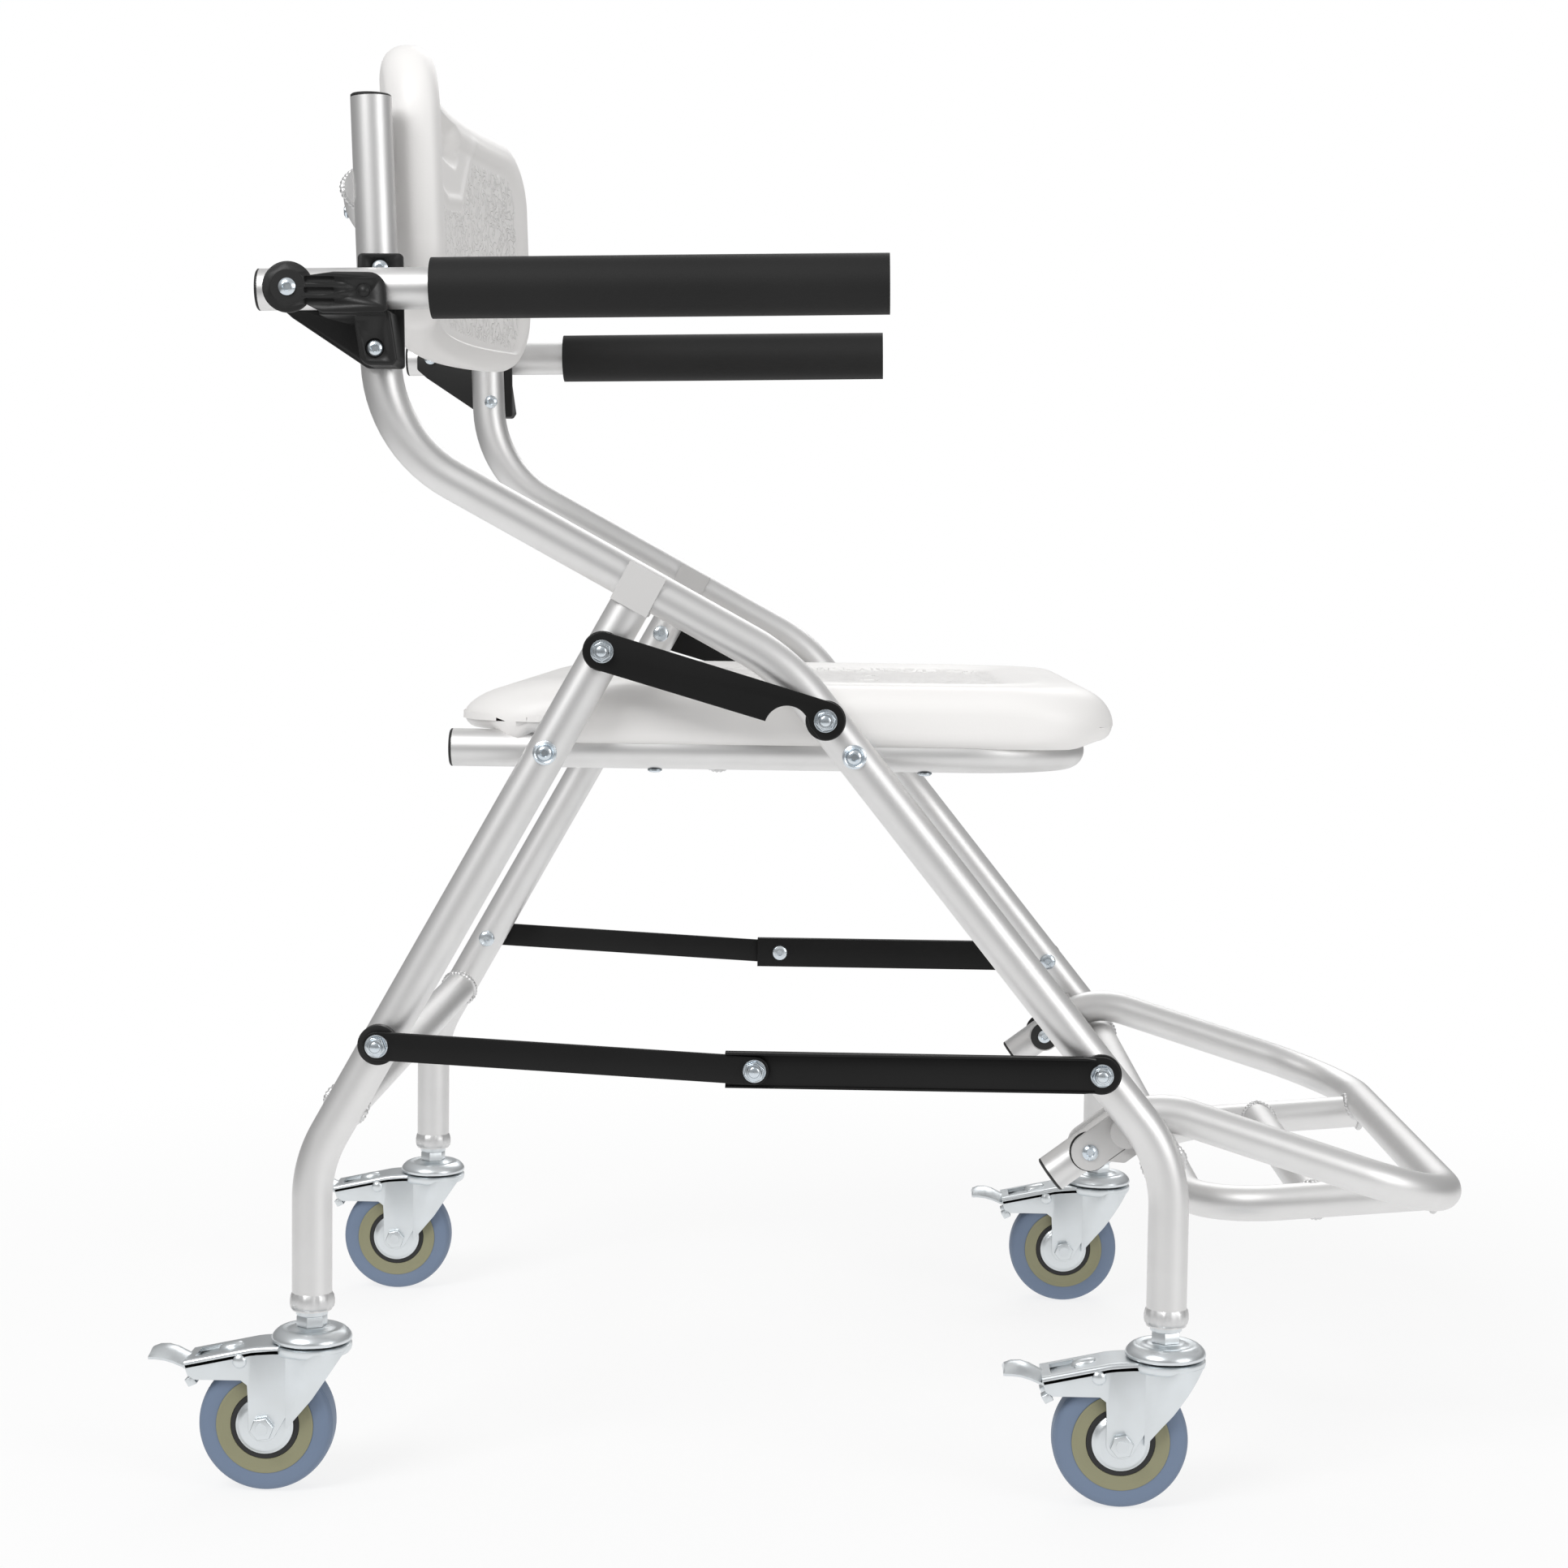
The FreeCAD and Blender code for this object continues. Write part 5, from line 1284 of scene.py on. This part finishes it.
# %% Stage
def floor_sheet(half=1.5):
    """A flat square under the chair: matt and pale beneath it, fading to plain white."""
    mesh = bpy.data.meshes.new("floor")
    mesh.from_pydata([(-half, -half, 0), (half, -half, 0), (half, half, 0), (-half, half, 0)],
                     [], [(0, 1, 2, 3)])
    made = bpy.data.objects.new("floor", mesh)
    bpy.context.scene.collection.objects.link(made)
    finish = Finish("floor_white", Roughness=0.7, Specular_IOR_Level=0.05)
    finish.feed("Base Color", finish.mix(finish.noise(3), grey(0.88), grey(0.90)))
    away = finish.add("VectorMath", {"operation": "LENGTH"}, {0: finish.place}, "Value")
    fade = finish.add("MapRange", {"interpolation_type": "SMOOTHSTEP"},
                      {"Value": away, "From Min": 0.45, "From Max": 1.2, "To Min": 0.8})
    glow = finish.add("Emission", None, {"Color": (1, 1, 1, 1)})
    plain = Term(finish, finish.shader.outputs[0])
    both = finish.add("MixShader", None, {"Fac": fade, 1: plain, 2: glow})
    finish.tree.links.new(both.socket, finish.tree.nodes["Material Output"].inputs["Surface"])
    made.data.materials.append(finish.material)


AIM = (0, 0, 0.4)  # the chair's middle, in metres


def lamp(name, place, size, power):
    """Square area lamp at a place in metres, facing the chair; power is in watts."""
    light = bpy.data.lights.new(name, "AREA")
    light.shape, light.size, light.energy = "SQUARE", size, power
    made = bpy.data.objects.new(name, light)
    turn = (Vector(place) - Vector(AIM)).to_track_quat("Z", "Y").to_matrix().to_4x4()
    made.matrix_world = Matrix.Translation(place) @ turn
    bpy.context.scene.collection.objects.link(made)


floor_sheet()
lamp("key", (-1.3, -1.9, 2.2), 1.2, 40)
lamp("fill", (2.2, -1.9, 1.2), 1.5, 22)
lamp("back_light", (0.4, 2.3, 2.2), 1.8, 20)


def white_room():
    """World light: dim below, bright above; the camera itself sees plain white."""
    world = bpy.data.worlds.new("white_room")
    world.use_nodes = True
    world.node_tree.nodes.clear()
    room = Graph(world.node_tree)
    up = room.add("SeparateXYZ", None, {0: room.add("TexCoord", output="Generated")}, "Z")
    level = room.add("MapRange", None, {"Value": up, "From Min": -0.1, "From Max": 1.0,
                                        "To Min": 0.28, "To Max": 0.84})
    light = room.add("Background", None, {"Strength": level})
    white = room.add("Background", None, {"Color": (1, 1, 1, 1), "Strength": 1.0})
    seen = room.add("LightPath", output="Is Camera Ray")
    both = room.add("MixShader", None, {"Fac": seen, 1: light, 2: white})
    room.add("OutputWorld", None, {"Surface": both})
    bpy.context.scene.world = world


white_room()
bpy.context.scene.view_settings.view_transform = "Standard"
print("floor, three lamps and a white room")

# %% [markdown]
# ## Last update
# The view layer is brought up to date once more.

# %% Finish
bpy.context.view_layer.update()
